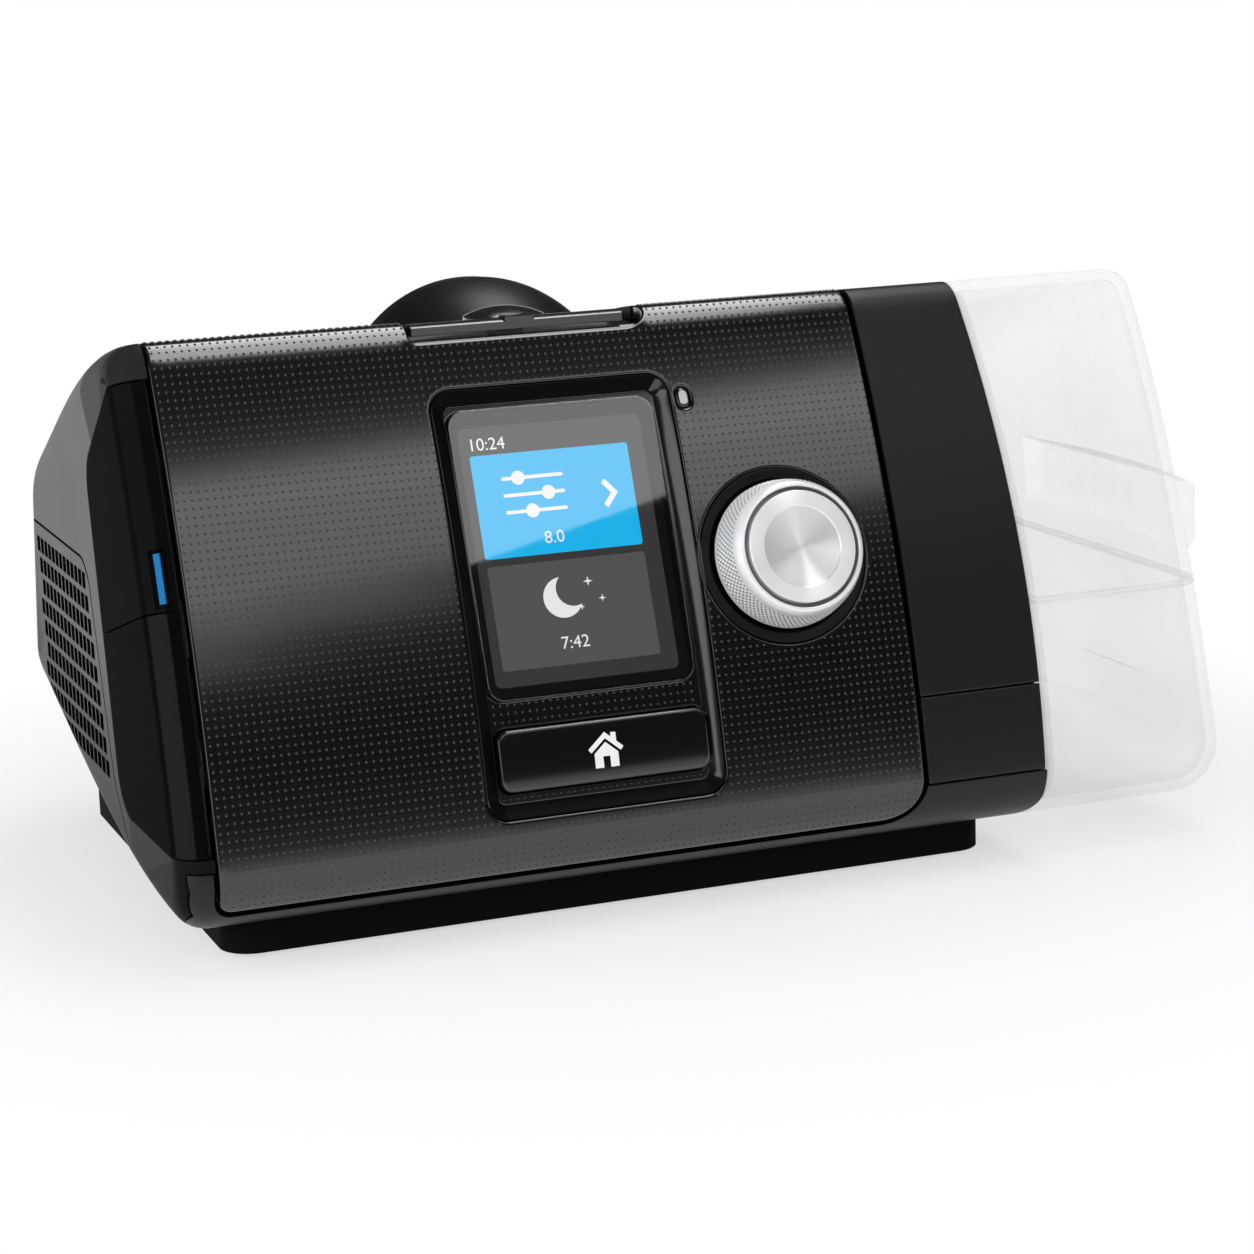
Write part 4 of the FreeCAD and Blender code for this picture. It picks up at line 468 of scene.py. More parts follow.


# %% Painted shade, painted sheen and tones that follow the place
def toned(material, slope, low, high, dark):
    """Multiplies the base colour by `dark` below a plane and by 1 above it: the plane's height is
    slope . (x, y, z), in metres, and the change runs from low to high."""
    tree = material.node_tree
    place = add(tree, "TexCoord", "Object")
    along = add(tree, "VectorMath", "Value", {0: place, 1: slope}, operation="DOT_PRODUCT")
    dimmed(tree, tree.nodes["Principled BSDF"], between(tree, along, dark, 1.0, low, high))


# The end frame is grey at the side and black at the toe. Painted shade darkens the facet beside the covers,
# the front of the frame and its lower part towards the bottom, where the real frame lies in shade.
toned(end_grey, (0, 0.753, -0.658), -0.0754, -0.0750, 0.35)
toned(end_grey, (0, 1, 0), -0.0372, -0.0352, 0.4)
toned(end_grey, (0, 0, 1), 0.012, 0.05, 0.25)
toned(end_grey, (0, 0.35, 1), -0.0040, -0.0036, 0.35)
# Painted sheen: the covers' base colour is dimmed on the flank and on the front, so their rounded front
# corner keeps a lighter strip where the real corner mirrors a lamp.
for cover, beside in ((card_black, 0.5), (adapter_black, 0.2)):
    toned(cover, (1, 0, 0), -0.1021, -0.1019, beside)
    toned(cover, (-1, 0, 0), 0.0992, 0.0994, beside)

# %% [markdown]
# Clear pieces need their own shaders. The tub is thin clear plastic that looks milky over a white table:
# a partly transparent shader renders clean at any sample count. The window lets the picture through
# unbent and lays a sharp reflection over it, as strong as Fresnel's law says for the angle.


# %% Clear finishes
def clear_plastic(name, colour, alpha, edge_alpha, roughness):
    """Thin clear plastic: see-through by 1 - alpha, and less so where it is seen edge-on."""
    material, tree, shader = shader_tree(name)
    veil = between(tree, add(tree, "LayerWeight", "Facing", {"Blend": 0.22}), alpha, edge_alpha)
    drift = between(tree, noise(tree, 40, 3.0), 0.8, 1.2)
    fill(tree, shader, {
        "Alpha": combined(tree, "MULTIPLY", veil, drift),
        "Base Color": tinted(tree, noise(tree, 25, 3.0), np.array(colour) * 0.97, colour),
        "Roughness": between(tree, noise(tree, 300), roughness * 0.8, roughness * 1.2)})
    return material


def blended(tree, share, one, two):
    """Sets the material's surface to a mix of two shaders, the second one by its share."""
    mix = add(tree, "MixShader", 0, {0: share, 1: one, 2: two})
    fill(tree, tree.nodes["Material Output"], {"Surface": mix})


def window(name, colour, gain):
    """Mix of a clear shader and a mirror, by Fresnel times the gain. A ray that leaves the pane from inside
    isn't bent here, so it passes without a mirror, or it would be trapped as in a prism."""
    material, tree, shader = shader_tree(name)
    tree.nodes.remove(shader)
    entering = combined(tree, "SUBTRACT", 1.0, add(tree, "NewGeometry", "Backfacing"))
    strength = combined(tree, "MULTIPLY", entering, gain)
    share = combined(tree, "MULTIPLY", add(tree, "Fresnel", 0, {"IOR": 1.45}), strength, use_clamp=True)
    clear = tinted(tree, noise(tree, 30), np.array(colour) * 0.985, colour)
    blended(tree, share, add(tree, "BsdfTransparent", 0, {"Color": clear}),
            add(tree, "BsdfGlossy", 0, {"Roughness": between(tree, noise(tree, 200), 0.01, 0.03)}))
    return material


tub_clear = clear_plastic("tub_clear", (0.96, 0.965, 0.97), 0.075, 0.4, 0.12)
seal_clear = clear_plastic("seal_clear", (0.8, 0.81, 0.82), 0.15, 0.3, 0.5)
window_glass = window("window_glass", (0.985, 0.985, 0.99), 3.8)
print("clear finishes:", tub_clear.name, seal_clear.name, window_glass.name)

# %% [markdown]
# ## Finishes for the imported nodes
# A node whose shape is right stays as it is. Its mesh is loose triangles, so a Weld modifier joins them and
# an Edge Split at 30 degrees keeps the real edges crisp while the curves shade smoothly.

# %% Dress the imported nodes
WELD_DISTANCE, KEEP_EDGE = 1.5e-5, math.radians(30)
SLOT_FINISH = {
    "gloss_black": fascia_black, "satin_black": satin_black, "matte_black": matte_black,
    "end_grey": end_grey, "catch_blue": catch_blue, "window_glass": gloss_black, "screen_face": gloss_black,
    "knob_metal": bright_metal, "steel": steel, "contact_brass": contact_brass, "coil_copper": coil_copper,
    "rubber_grey": rubber_grey, "board_green": board_green, "inner_plastic": inner_grey,
    "wheel_white": wheel_white, "filter_white": foam_grey, "foam_grey": foam_grey, "tub_clear": tub_clear,
}
NODE_FINISH = {"card_cover": card_black, "adapter_cover": adapter_black, "start_lens": gloss_black,
               "start_key": key_black, "key_shelf": key_black, "tub_seal": seal_clear}

for name, packed in nodes.items():
    mesh = packed.data
    mesh.materials.clear()
    mesh.materials.append(NODE_FINISH.get(name, SLOT_FINISH[node_slots[name]]))
    mesh.polygons.foreach_set("use_smooth", np.ones(len(mesh.polygons), bool))
    packed.modifiers.new("weld", "WELD").merge_threshold = WELD_DISTANCE
    packed.modifiers.new("edges", "EDGE_SPLIT").split_angle = KEEP_EDGE

# The walls of the grille's slots are the faces of its outer plate that don't face left or right. They get
# painted shade, a near-black finish, so the slots stay black at a flat angle.
PLATE_INNER = -0.093
grille = nodes["filter_cover"]
facing, middle = (rows_of(grille.data.polygons, what)[:, 0] for what in ("normal", "center"))
slot_walls = (np.abs(facing) < 0.3) & (middle < PLATE_INNER)
repaint(grille, slot_painted_shade, slot_walls)
print("dressed", len(nodes), "nodes; slot walls:", int(slot_walls.sum()), "faces")

# %% [markdown]
# ## The fascia
# The fascia is one glossy black sheet that rolls over the ridge at the top and under the chin at the
# bottom. It has four openings: the display well, the dial, a small light sensor and, from its rear edge,
# the flat notch of the start key.

# %% Fascia outline and openings
FASCIA_LEFT, FASCIA_RIGHT, FASCIA_LOW, FASCIA_BACK = -96.0, 34.0, 11.1, -38.1
NOTCH_LEFT, NOTCH_RIGHT, NOTCH_FLOOR = -49.7, -5.5, 100.4
WELL = (-26.25, 57.5, 44.3, 75.4, 4.0)
DIAL, DIAL_HOLE = (12.1, 59.9), 15.8
SENSOR = (-1.6, 87.9)

s_low, s_back, s_notch = s_at_height(FASCIA_LOW), s_at_depth(FASCIA_BACK), s_at_height(NOTCH_FLOOR)
fascia_outline = rounded(
    [(FASCIA_LEFT, s_low), (FASCIA_RIGHT, s_low), (FASCIA_RIGHT, s_back), (NOTCH_RIGHT, s_back),
     (NOTCH_RIGHT, s_notch), (NOTCH_LEFT, s_notch), (NOTCH_LEFT, s_back), (FASCIA_LEFT, s_back)],
    [2.5, 8, 0.6, 1, 4.2, 1.4, 1, 0.6], 1.6)


def well_outline(grow):
    """The display well as seen straight on: heights become distances along the arc of the face."""
    x, z, *size = WELL
    loop = centred_box(*size, 1.6, grow)
    return np.stack([x + loop[:, 0], s_at_height(z) + FACE[2] * np.arcsin(loop[:, 1] / FACE[2])], axis=1)


fascia_openings = [well_outline(0.1), circle((DIAL[0], s_at_height(DIAL[1])), DIAL_HOLE, 120),
                   centred_box(2.8, 4.0, 1.3, 0.6) + (SENSOR[0], s_at_height(SENSOR[1]))]
print("fascia runs from s", round(float(s_low), 1), "to", round(float(s_back), 1))

# %% Fascia sheet
SKIN_THICK, FASCIA_EDGE, SKIN_STEP, STEP_TURN = 2.4, 0.45, 2.6, 0.09


def profile_rows(low, high):
    """Distances along the profile, spaced finely where an arc is tight."""
    rows = [low]
    while rows[-1] < high:
        index = np.searchsorted(STARTS, rows[-1], side="right") - 1
        rows.append(rows[-1] + min(SKIN_STEP, STEP_TURN * ARCS[index, 2]))
    return np.array(rows)


points, faces = sheet_arrays(cut_out(fascia_outline, fascia_openings), skin, SKIN_THICK, FASCIA_EDGE,
                             np.arange(FASCIA_LEFT, FASCIA_RIGHT, SKIN_STEP), profile_rows(s_low, s_back))
new_piece("fascia_sheet", points, faces, "root", fascia_black, ["fascia"])

# %% [markdown]
# The fascia is covered with a fine square grid of tiny raised dots. Each dot is a shallow dome of only
# 24 triangles, and all of them are one mesh: one dome's points, plus every grid place, in a single sum.

# %% Fascia dots
DOT_RADIUS, DOT_HEIGHT, DOT_SINK, DOT_SIDES = 0.27, 0.2, 0.03, 8
DOT_PITCH_X, DOT_PITCH_S = 1.31, 1.475
SHOULDER_RADIUS, SHOULDER_HEIGHT = 0.62, 0.68


def dot_places(outline, openings, low, high, left, right, margin):
    """Square grid places inside the outline and outside its openings, clear of every edge."""
    grid = np.meshgrid(np.arange(left, right, DOT_PITCH_X), np.arange(low, high, DOT_PITCH_S))
    places = np.stack(grid, axis=-1).reshape(-1, 2)
    kept_off = [moved_in(loop, -margin) for loop in openings]
    return places[on_sheet(places, moved_in(outline, margin), *kept_off)]


def dome_dots(name, places, place):
    """A dome = base ring just under the surface, a ring at two thirds of the radius, and a top point."""
    ring = spokes(full_turn(DOT_SIDES)) * DOT_RADIUS
    flat = np.concatenate([ring, ring * SHOULDER_RADIUS, [[0, 0]]])
    depth = np.concatenate([np.full(DOT_SIDES, DOT_SINK), np.full(DOT_SIDES, -DOT_HEIGHT * SHOULDER_HEIGHT),
                            [-DOT_HEIGHT]])
    where = (places[:, None] + flat).reshape(-1, 2)
    points = place(where[:, 0], where[:, 1], np.tile(depth, len(places)))
    base = np.arange(DOT_SIDES)
    shoulder, after, top = base + DOT_SIDES, np.roll(base, -1), np.full(DOT_SIDES, 2 * DOT_SIDES)
    quads = np.stack([base, after, after + DOT_SIDES, shoulder], axis=1)
    fan = np.stack([shoulder, after + DOT_SIDES, top], axis=1)
    shift = np.arange(len(places))[:, None, None] * len(flat)
    faces = [*(quads + shift).reshape(-1, 4), *(fan + shift).reshape(-1, 3)]
    return new_piece(name, points, faces, "root", dot_black, sharp=80)


places = dot_places(fascia_outline, fascia_openings, s_low + 1.2, s_back - 0.4,
                    FASCIA_LEFT + 1, FASCIA_RIGHT, 0.55)
dome_dots("fascia_dots", places, skin)

# %% [markdown]
# ## The bay cover
# Right of the fascia, past a narrow black channel, a plain satin cover hides the tub's bay. Its right edge
# is a slight bow, and a fine seam crosses it near the bottom, so it is two sheets a quarter of a
# millimetre apart.

# %% Bay cover
BAY_LEFT, BAY_LOW, BAY_SEAM, BAY_STEP = 34.9, 17.3, 32.8, 2.4
BAY_EDGE, SEAM_GAP, BOW_TOP = 0.3, 0.24, 104
bow = np.polyfit([105, 58, 20], [55.8, 58.9, 58.6], 2)


def bay_outline(low, high):
    """Straight on the left, a parabola x(z) through three points on the right."""
    s = np.linspace(low, high, 60)
    height = np.interp(s, s_samples, walk[:, 1])
    right = np.stack([np.polyval(bow, np.minimum(height, BOW_TOP)), s], axis=1)
    return refine(np.concatenate([right, [(BAY_LEFT, high), (BAY_LEFT, low)]]), 1.8)


s_bay, s_seam = s_at_height(BAY_LOW), s_at_height(BAY_SEAM)
for name, low, high, replaced in (("bay_cover_lower", s_bay, s_seam - SEAM_GAP / 2, ()),
                                  ("bay_cover_upper", s_seam + SEAM_GAP / 2, s_back, ["bay_cover"])):
    points, faces = sheet_arrays([bay_outline(low, high)], skin, SKIN_THICK, BAY_EDGE,
                                 np.arange(BAY_LEFT, 60, BAY_STEP), profile_rows(s_bay, s_back))
    new_piece(name, points, faces, "root", satin_black, replaced)

# %% [markdown]
# ## The display well
# The well is a recess with sloping walls. The wall is a loft of one rounded rectangle that shrinks and
# sinks; its floor is a sheet with openings for the window and the home button.

# %% Well wall and floor
WALL_WIDTH, WALL_DEPTH, WALL_BACK, WALL_LIT = 2.3, 1.7, 3.6, -0.35
FLOOR_THICK, FLOOR_EDGE, FLOOR_STEP = 1.6, 0.25, 2.4
GLASS = (-26.6, 65.3, 38.2, 51.2, 3.0)
HOME = (-26.0, 30.7, 38.6, 10.7, 2.0)


def flat_outline(spec, grow):
    """A rounded rectangle given by its middle, size and corner, drawn in x and s."""
    x, z, *size = spec
    return centred_box(*size, 1.4, grow) + (x, s_at_height(z))


def loft(rings):
    """Quads between successive rings of equal length, each ring an array of points in space."""
    count = len(rings[0])
    ids = np.arange(count)
    quads = [ring_quads(ids + k * count, ids + (k + 1) * count) for k in range(len(rings) - 1)]
    return np.concatenate(rings), np.concatenate(quads)


def sunk(x, s, depth=0.0):
    """The skin, lowered to the well's floor."""
    return skin(x, s, np.asarray(depth) + WALL_DEPTH)


# Each step of the wall is how far it has come in and how deep it lies.
wall_steps = [(0.0, WALL_BACK), (0.0, 0.25), (0.08, 0.07), (0.25, 0.0), (0.42, 0.1), (1.2, 0.72),
              (WALL_WIDTH + 0.05, WALL_DEPTH - 0.1), (WALL_WIDTH + 0.3, WALL_DEPTH),
              (WALL_WIDTH + 0.3, WALL_BACK), (0.0, WALL_BACK)]
outer = well_outline(0.0)
points, faces = loft([skin(*moved_in(outer, offset).T, depth) for offset, depth in wall_steps])
# Painted shade: the top, left and bottom walls take a dull copy of the black that mirrors almost nothing, so
# they read as shaded; the right wall, which faces left, keeps the glossy black.
wall = new_piece("well_wall", points, faces[:, ::-1], "root", painted_shade_black, sharp=30)
repaint(wall, gloss_black, rows_of(wall.data.polygons, "normal")[:, 0] < WALL_LIT)

floor_outline = moved_in(outer, WALL_WIDTH + 0.1)
floor_openings = [flat_outline(GLASS, 0.25), flat_outline(HOME, 0.35)]
points, faces = sheet_arrays(cut_out(floor_outline, floor_openings), sunk, FLOOR_THICK, FLOOR_EDGE,
                             np.arange(-50, 0, FLOOR_STEP), profile_rows(s_at_height(18), s_at_height(97)))
new_piece("well_floor", points, faces, "root", fascia_black, ["display_well"])
places = dot_places(floor_outline, floor_openings, s_at_height(20), s_at_height(95), -47.5, -5, 0.5)
dome_dots("well_dots", places, sunk)

# %% [markdown]
# The window is a clear plate with a rolled edge, over a dark screen. The screen's picture is built from
# thin coloured plates that give their own light, in the order background, tiles, signs.

# %% Window
GLASS_DEPTH, GLASS_THICK = 1.4, 1.4


def plate(name, loop, place, thick, edge, body, material, replaced=(), step=3.0):
    """A flat rounded plate on a frame of the face."""
    low, high = loop.min(0), loop.max(0)
    step = min(step, *(high - low) / 2.5)
    columns, rows = (np.arange(start + step / 2, end + step, step) for start, end in zip(low, high))
    points, faces = sheet_arrays([loop], place, thick, edge, columns, rows)
    return new_piece(name, points, faces, body, material, replaced)


plate("window_pane", centred_box(*GLASS[2:]), on_plane(*GLASS[:2], -GLASS_DEPTH), GLASS_THICK, 0.12, "root",
      window_glass, ["display_glass"])


# %% Lit screen
SCREEN_DEPTH, SCREEN_RISE, SCREEN_EDGE = 2.9, 0.02, 0.004
FOIL = SCREEN_RISE * 0.8
BLOCK, BACKGROUND, TILES, SIGNS = 0, 1, 2, 3


def glowing(name, colour, other):
    """A lit screen colour, with a slight drift over the picture."""
    material, tree, shader = shader_tree(name)
    fill(tree, shader, {
        "Base Color": (0.01, 0.01, 0.01, 1), "Roughness": 0.5, "Specular IOR Level": 0.05,
        "Emission Color": tinted(tree, noise(tree, 20), colour, other), "Emission Strength": 1.0})
    return material


def screen_level(level):
    """The flat map of one layer of the picture, each a little in front of the last."""
    return on_plane(*GLASS[:2], -SCREEN_DEPTH + SCREEN_RISE * level)


def screen_plate(name, loop, level, material):
    """One thin plate of the picture; thinner than a sheet of foil, but a closed solid."""
    return plate(name, loop, screen_level(level), FOIL, SCREEN_EDGE, "root", material)


screen_dark = glowing("screen_dark", (0.030, 0.029, 0.029), (0.040, 0.039, 0.039))
tile_blue = glowing("tile_blue", (0.002, 0.49, 0.93), (0.004, 0.53, 0.95))
tile_grey = glowing("tile_grey", (0.085, 0.083, 0.083), (0.097, 0.095, 0.095))
sign_white = glowing("sign_white", (0.93, 0.93, 0.93), (0.93, 0.93, 0.93))
border_black = moulded("border_black", (0.004, 0.004, 0.004), 0.5, 0.0002, 3000, edge=0, shine=0.02)

plate("screen_block", centred_box(37.2, 50, 2), screen_level(BLOCK), 3.3, 0.05, "root",
      border_black, ["screen_module"])
screen_plate("screen_background", box_outline(-17.2, -23.2, 16.8, 22.7, 1.2), BACKGROUND, screen_dark)
screen_plate("tile_upper", box_outline(-15.6, -0.7, 13.7, 17.7, 0.5), TILES, tile_blue)
screen_plate("tile_lower", box_outline(-15.5, -20.4, 13.7, -2.0, 0.5), TILES, tile_grey)


# %% Signs on the tiles
def bar(start, end, width):
    """A straight bar with round ends, as an outline: half a circle about the end, and the same mirrored
    through the start."""
    start, end = np.array(start, float), np.array(end, float)
    along = (end - start) / math.dist(start, end)
    side = np.array([-along[1], along[0]]) * width / 2
    arc = np.linspace(-math.pi / 2, math.pi / 2, 9)[:, None]
    one, two = (centre + along * np.cos(arc) * width / 2 + side * np.sin(arc) for centre in (start, end))
    return np.concatenate([two, 2 * start - one])


def crescent(centre, radius, bite, bite_radius):
    """A disc less a second disc: the outer arc one way, the inner arc back."""
    centre, bite = np.array(centre, float), np.array(bite, float)
    span = math.dist(centre, bite)
    along = (span ** 2 + radius ** 2 - bite_radius ** 2) / (2 * span)
    heading = math.atan2(*(bite - centre)[::-1])
    half = math.acos(along / radius)
    half_bite = math.acos((span - along) / bite_radius)
    outer_turn = heading + np.linspace(half, 2 * math.pi - half, 40)
    inner_turn = heading + math.pi + np.linspace(half_bite, -half_bite, 30)[1:-1]
    return np.concatenate([centre + radius * spokes(outer_turn), bite + bite_radius * spokes(inner_turn)])


def star(centre, size):
    """Four points: the radius swings between the size and 0.28 of it, eight times round."""
    radius = np.where(np.arange(8) % 2 == 0, 1.0, 0.28) * size
    return np.array(centre) + radius[:, None] * spokes(np.arange(8) * math.pi / 4)


def many_plates(name, loops, place, thick, edge, body, material):
    """Several small plates in one piece."""
    points, faces, total = [], [], 0
    for loop in loops:
        low, high = loop.min(0), loop.max(0)
        step = max(high - low) / 3
        columns, rows = (np.arange(start, end + step, step) for start, end in zip(low, high))
        part, part_faces = sheet_arrays([loop], place, thick, edge, columns, rows)
        points.append(part)
        faces += [np.asarray(face) + total for face in part_faces]
        total += len(part)
    return new_piece(name, np.concatenate(points), faces, body, material)


sliders = [bar((-10.2, y), (0.6, y), 0.62) for y in (13.2, 10.2, 7.2)]
knobs = [refine(circle(centre, 1.25, 28), 1.0) for centre in ((-7.4, 13.2), (-2.2, 10.2), (-5.6, 7.2))]
chevron = refine(np.array([(8.4, 6.4), (10.6, 9.0), (8.4, 11.6), (7.7, 10.9), (9.3, 9.0), (7.7, 7.1)]), 1.0)
moon = crescent((-2.6, -8.6), 3.6, (-0.6, -7.2), 3.1)
stars = [star((2.4, -6.2), 0.9), star((4.6, -9.4), 0.7), star((0.6, -10.6), 0.6)]
many_plates("screen_signs", [*sliders, *knobs, chevron, moon, *stars], screen_level(SIGNS), FOIL,
            SCREEN_EDGE, "root", sign_white)

# %% Figures on the screen
FIGURE_SIZE, FIGURE_HALF, FIGURE_FRONT = 3.1, 0.005, 0.006


def figures(name, text, u, v):
    """Plain figures: a text outline made into a mesh, then moved with the same flat map."""
    curve = bpy.data.curves.new(name, "FONT")
    curve.body, curve.size, curve.align_x, curve.extrude = text, FIGURE_SIZE, "CENTER", FIGURE_HALF
    holder = placed(name, curve)
    bpy.context.view_layer.update()
    shape = bpy.data.meshes.new_from_object(holder)
    flat = rows_of(shape.vertices, "co")
    faces = [list(face.vertices) for face in shape.polygons]
    bpy.data.objects.remove(holder)
    bpy.data.curves.remove(curve)
    bpy.data.meshes.remove(shape)
    points = screen_level(SIGNS)(flat[:, 0] + u, flat[:, 1] + v, FIGURE_FRONT - flat[:, 2])
    return new_piece(name, points, faces, "root", sign_white)


figures("clock_figures", "10:24", -12.2, 18.6)
figures("upper_figures", "8.0", -2.4, 1.2)
figures("lower_figures", "7:42", -1.6, -17.6)

# %% [markdown]
# ## The home button
# A wide pillow with a rolled edge, proud of the well's floor. The house is the usual sign for home: a roof
# with a chimney over a body with a door.

# %% Home button
HOME_RISE, HOME_THICK, HOME_FRONT, HOME_EDGE = 0.2, 3.9, 3.0, 0.45
END_FALL, SIDE_FALL, SIGN_RAISE = 0.16, 0.22, 0.03
home_place = on_plane(*HOME[:2], HOME_RISE)


def pillow(u, v, depth=0.0):
    """The button's plate with a crown: its front falls by 0.16 mm times the fourth power of the way to its
    ends, and by 0.22 mm times the third power of the way to its long sides. The back stays flat."""
    depth = np.asarray(depth)
    fall = END_FALL * (np.abs(u) / (HOME[2] / 2)) ** 4 + SIDE_FALL * (np.abs(v) / (HOME[3] / 2)) ** 3
    return home_place(u, v, depth + fall * (depth < HOME_FRONT))


def raised(u, v, depth=0.0):
    """The button's front, a little proud, for the sign."""
    return pillow(u, v, np.asarray(depth) - SIGN_RAISE)


plate("home_key", centred_box(*HOME[2:], 1.0), pillow, HOME_THICK, HOME_EDGE, "home_press", gloss_black,
      ["home_button"], 1.2)
roof = rounded([(-2.72, -0.3), (0, 2.05), (2.72, -0.3), (3.25, 0.35), (2.05, 1.38), (2.05, 2.95), (1.1, 2.95),
                (1.1, 2.2), (0, 3.15), (-3.25, 0.35)], [0.05] * 10, 0.7)
house = rounded([(-2.2, -3.0), (-0.65, -3.0), (-0.65, -1.05), (0.65, -1.05), (0.65, -3.0), (2.2, -3.0),
                 (2.2, -0.5), (0, 1.4), (-2.2, -0.5)], [0.05] * 9, 0.7)
paint_white = moulded("paint_white", (0.86, 0.86, 0.86), 0.4, 0.002, 3000, edge=0)
many_plates("home_sign", [roof, house], raised, 0.08, 0.01, "home_press", paint_white)

# %% [markdown]
# ## The light sensor
# A small window near the ridge: a pill of black plastic with a rounded front, and a paler eye in it.

# %% Light sensor
lens_grey = moulded("lens_grey", (0.42, 0.42, 0.43), 0.2, 0.002, 3000, edge=0)
plate("sensor_lens", centred_box(2.6, 3.8, 1.2, 0.5), on_plane(*SENSOR), 2.2, 0.5, "root", gloss_black,
      ["light_sensor"], 0.8)
plate("sensor_eye", centred_box(1.5, 2.6, 0.7, 0.4), on_plane(*SENSOR, 0.12), 0.3, 0.1, "root", lens_grey,
      (), 0.6)

# %% [markdown]
# ## The dial
# Round pieces are profiles turned about the dial's axis. The skirt of the knob has a diamond knurl: two
# sets of helical ridges cross, and the height is the mean of two triangle waves, one for each set.


# %% Turned shapes
def turned(profile, count, place, ripple=None):
    """Point = axis + r cos(a) right + r sin(a) up + h outward, on a grid of profile step and angle a. A
    ripple adds to the radius. Profile ends at radius 0 are closed by one pole point."""
    profile = np.asarray(profile, float)
    angle = full_turn(count)
    radius, height = (profile[:, k:k + 1] + np.zeros(count) for k in (0, 1))
    if ripple is not None:
        radius = radius + ripple(angle[None], height)
    start, end = int(profile[0, 0] == 0), int(profile[-1, 0] == 0)
    body = slice(start, len(profile) - end)
    u, v, h = radius[body] * np.cos(angle), radius[body] * np.sin(angle), height[body]
    points = place(u.ravel(), v.ravel(), -h.ravel())
    last = len(u) - 1
    ids = np.arange(count)
    faces = list(np.concatenate([ring_quads(ids + (k + 1) * count, ids + k * count) for k in range(last)]))
    for used, row, tip, way in ((start, 0, profile[0], 1), (end, last, profile[-1], -1)):
        if used:
            pole = len(points)
            points = np.concatenate([points, place([0.0], [0.0], [-tip[1]])])
            ring = ids + row * count
            faces += list(np.stack([np.roll(ring, -1), ring, np.full(count, pole)], axis=1)[:, ::way])
    return points, faces


def rolled(corner_points, radius, steps=5):
    """An open profile whose inner corners are replaced by small arcs (quadratic blends)."""
    corner_points = np.asarray(corner_points, float)
    path = [corner_points[0]]
    for before, corner, after in zip(corner_points, corner_points[1:], corner_points[2:]):
        reach = min(radius, math.dist(before, corner) / 2.2, math.dist(corner, after) / 2.2)
        one = corner + (before - corner) / math.dist(before, corner) * reach
        two = corner + (after - corner) / math.dist(after, corner) * reach
        t = np.linspace(0, 1, steps)[:, None]
        path += list((1 - t) ** 2 * one + 2 * t * (1 - t) * corner + t ** 2 * two)
    path.append(corner_points[-1])
    return np.array(path)


def on_dial(points_in_space):
    """Radius, angle and height about the dial's axis, in mm."""
    origin, axes = face_frame(*DIAL)
    local = (points_in_space - origin) @ axes.T / MM
    return np.hypot(local[:, 0], local[:, 1]), np.arctan2(local[:, 1], local[:, 0]), local[:, 2]


# %% Dial ring
SHAFT_BORE, RING_INNER, RING_OUTER, RING_BACK = 3.05, 13.7, 15.7, -4.6
dial_place = on_plane(*DIAL)
ring_black = moulded("ring_black", (0.004, 0.004, 0.0043), 0.4, 0.004, 2500, edge=0, shine=0.2)
ring_profile = rolled([(SHAFT_BORE, -3.2), (SHAFT_BORE, RING_BACK), (RING_OUTER, RING_BACK),
                       (RING_OUTER, -0.1), (13.9, -0.3), (RING_INNER, -1.9), (RING_INNER, -3.2),
                       (SHAFT_BORE, -3.2)], 0.2)
points, faces = turned(ring_profile[::-1], 160, dial_place)
new_piece("dial_ring_turned", points, faces, "root", ring_black, ["dial_ring"], sharp=50)

# %% The knurl
KNURL_LOW, KNURL_HIGH, KNURL_FADE = 0.9, 6.7, 0.3
KNURL_COUNT, KNURL_HEIGHT, KNURL_RISE = 88, 0.38, 0.68


def triangle_wave(turns):
    """1 at whole turns, 0 half-way between, and straight between them."""
    return 2 * np.abs((turns % 1.0) - 0.5)


def knurl(angle, height):
    """Mean of two triangle waves whose phases are count * angle / 2 pi plus and minus half of height /
    rise, faded out at both ends of the skirt."""
    turns, rise = KNURL_COUNT * angle / (2 * math.pi), (height - KNURL_LOW) / KNURL_RISE
    wave = (triangle_wave(turns + rise / 2) + triangle_wave(turns - rise / 2)) / 2
    fade = (np.clip((height - KNURL_LOW) / KNURL_FADE, 0, 1)
            * np.clip((KNURL_HIGH - height) / KNURL_FADE, 0, 1))
    return KNURL_HEIGHT * (wave - 0.5) * fade


print("knurl height at a ridge and a groove:", knurl(np.zeros(2), np.array([3.62, 4.3])).round(3))

# %% Knurled knob
METAL = (0.9, 0.903, 0.906)
KNOB_BORE, GROOVE_RADIUS, GROOVE_FLOOR = 3.02, 10.72, 7.05
knurl_metal = moulded("knurl_metal", METAL, 0.3, 0.002, 4000, edge=0, metallic=0.42, variation=0.03)
groove_painted_shade_metal = moulded("groove_painted_shade_metal", (0.3, 0.3, 0.302), 0.4, 0.002, 4000, edge=0, metallic=0.5)
# Painted shade: the knurl's base colour falls to 0.16 of itself towards the bottom of its grooves.
tree = knurl_metal.node_tree
knurl_painted_shade = between(tree, add(tree, "Attribute", "Fac", attribute_name="ridge"), 0.16, 1.0, 0.1, 0.6)
dimmed(tree, tree.nodes["Principled BSDF"], knurl_painted_shade)

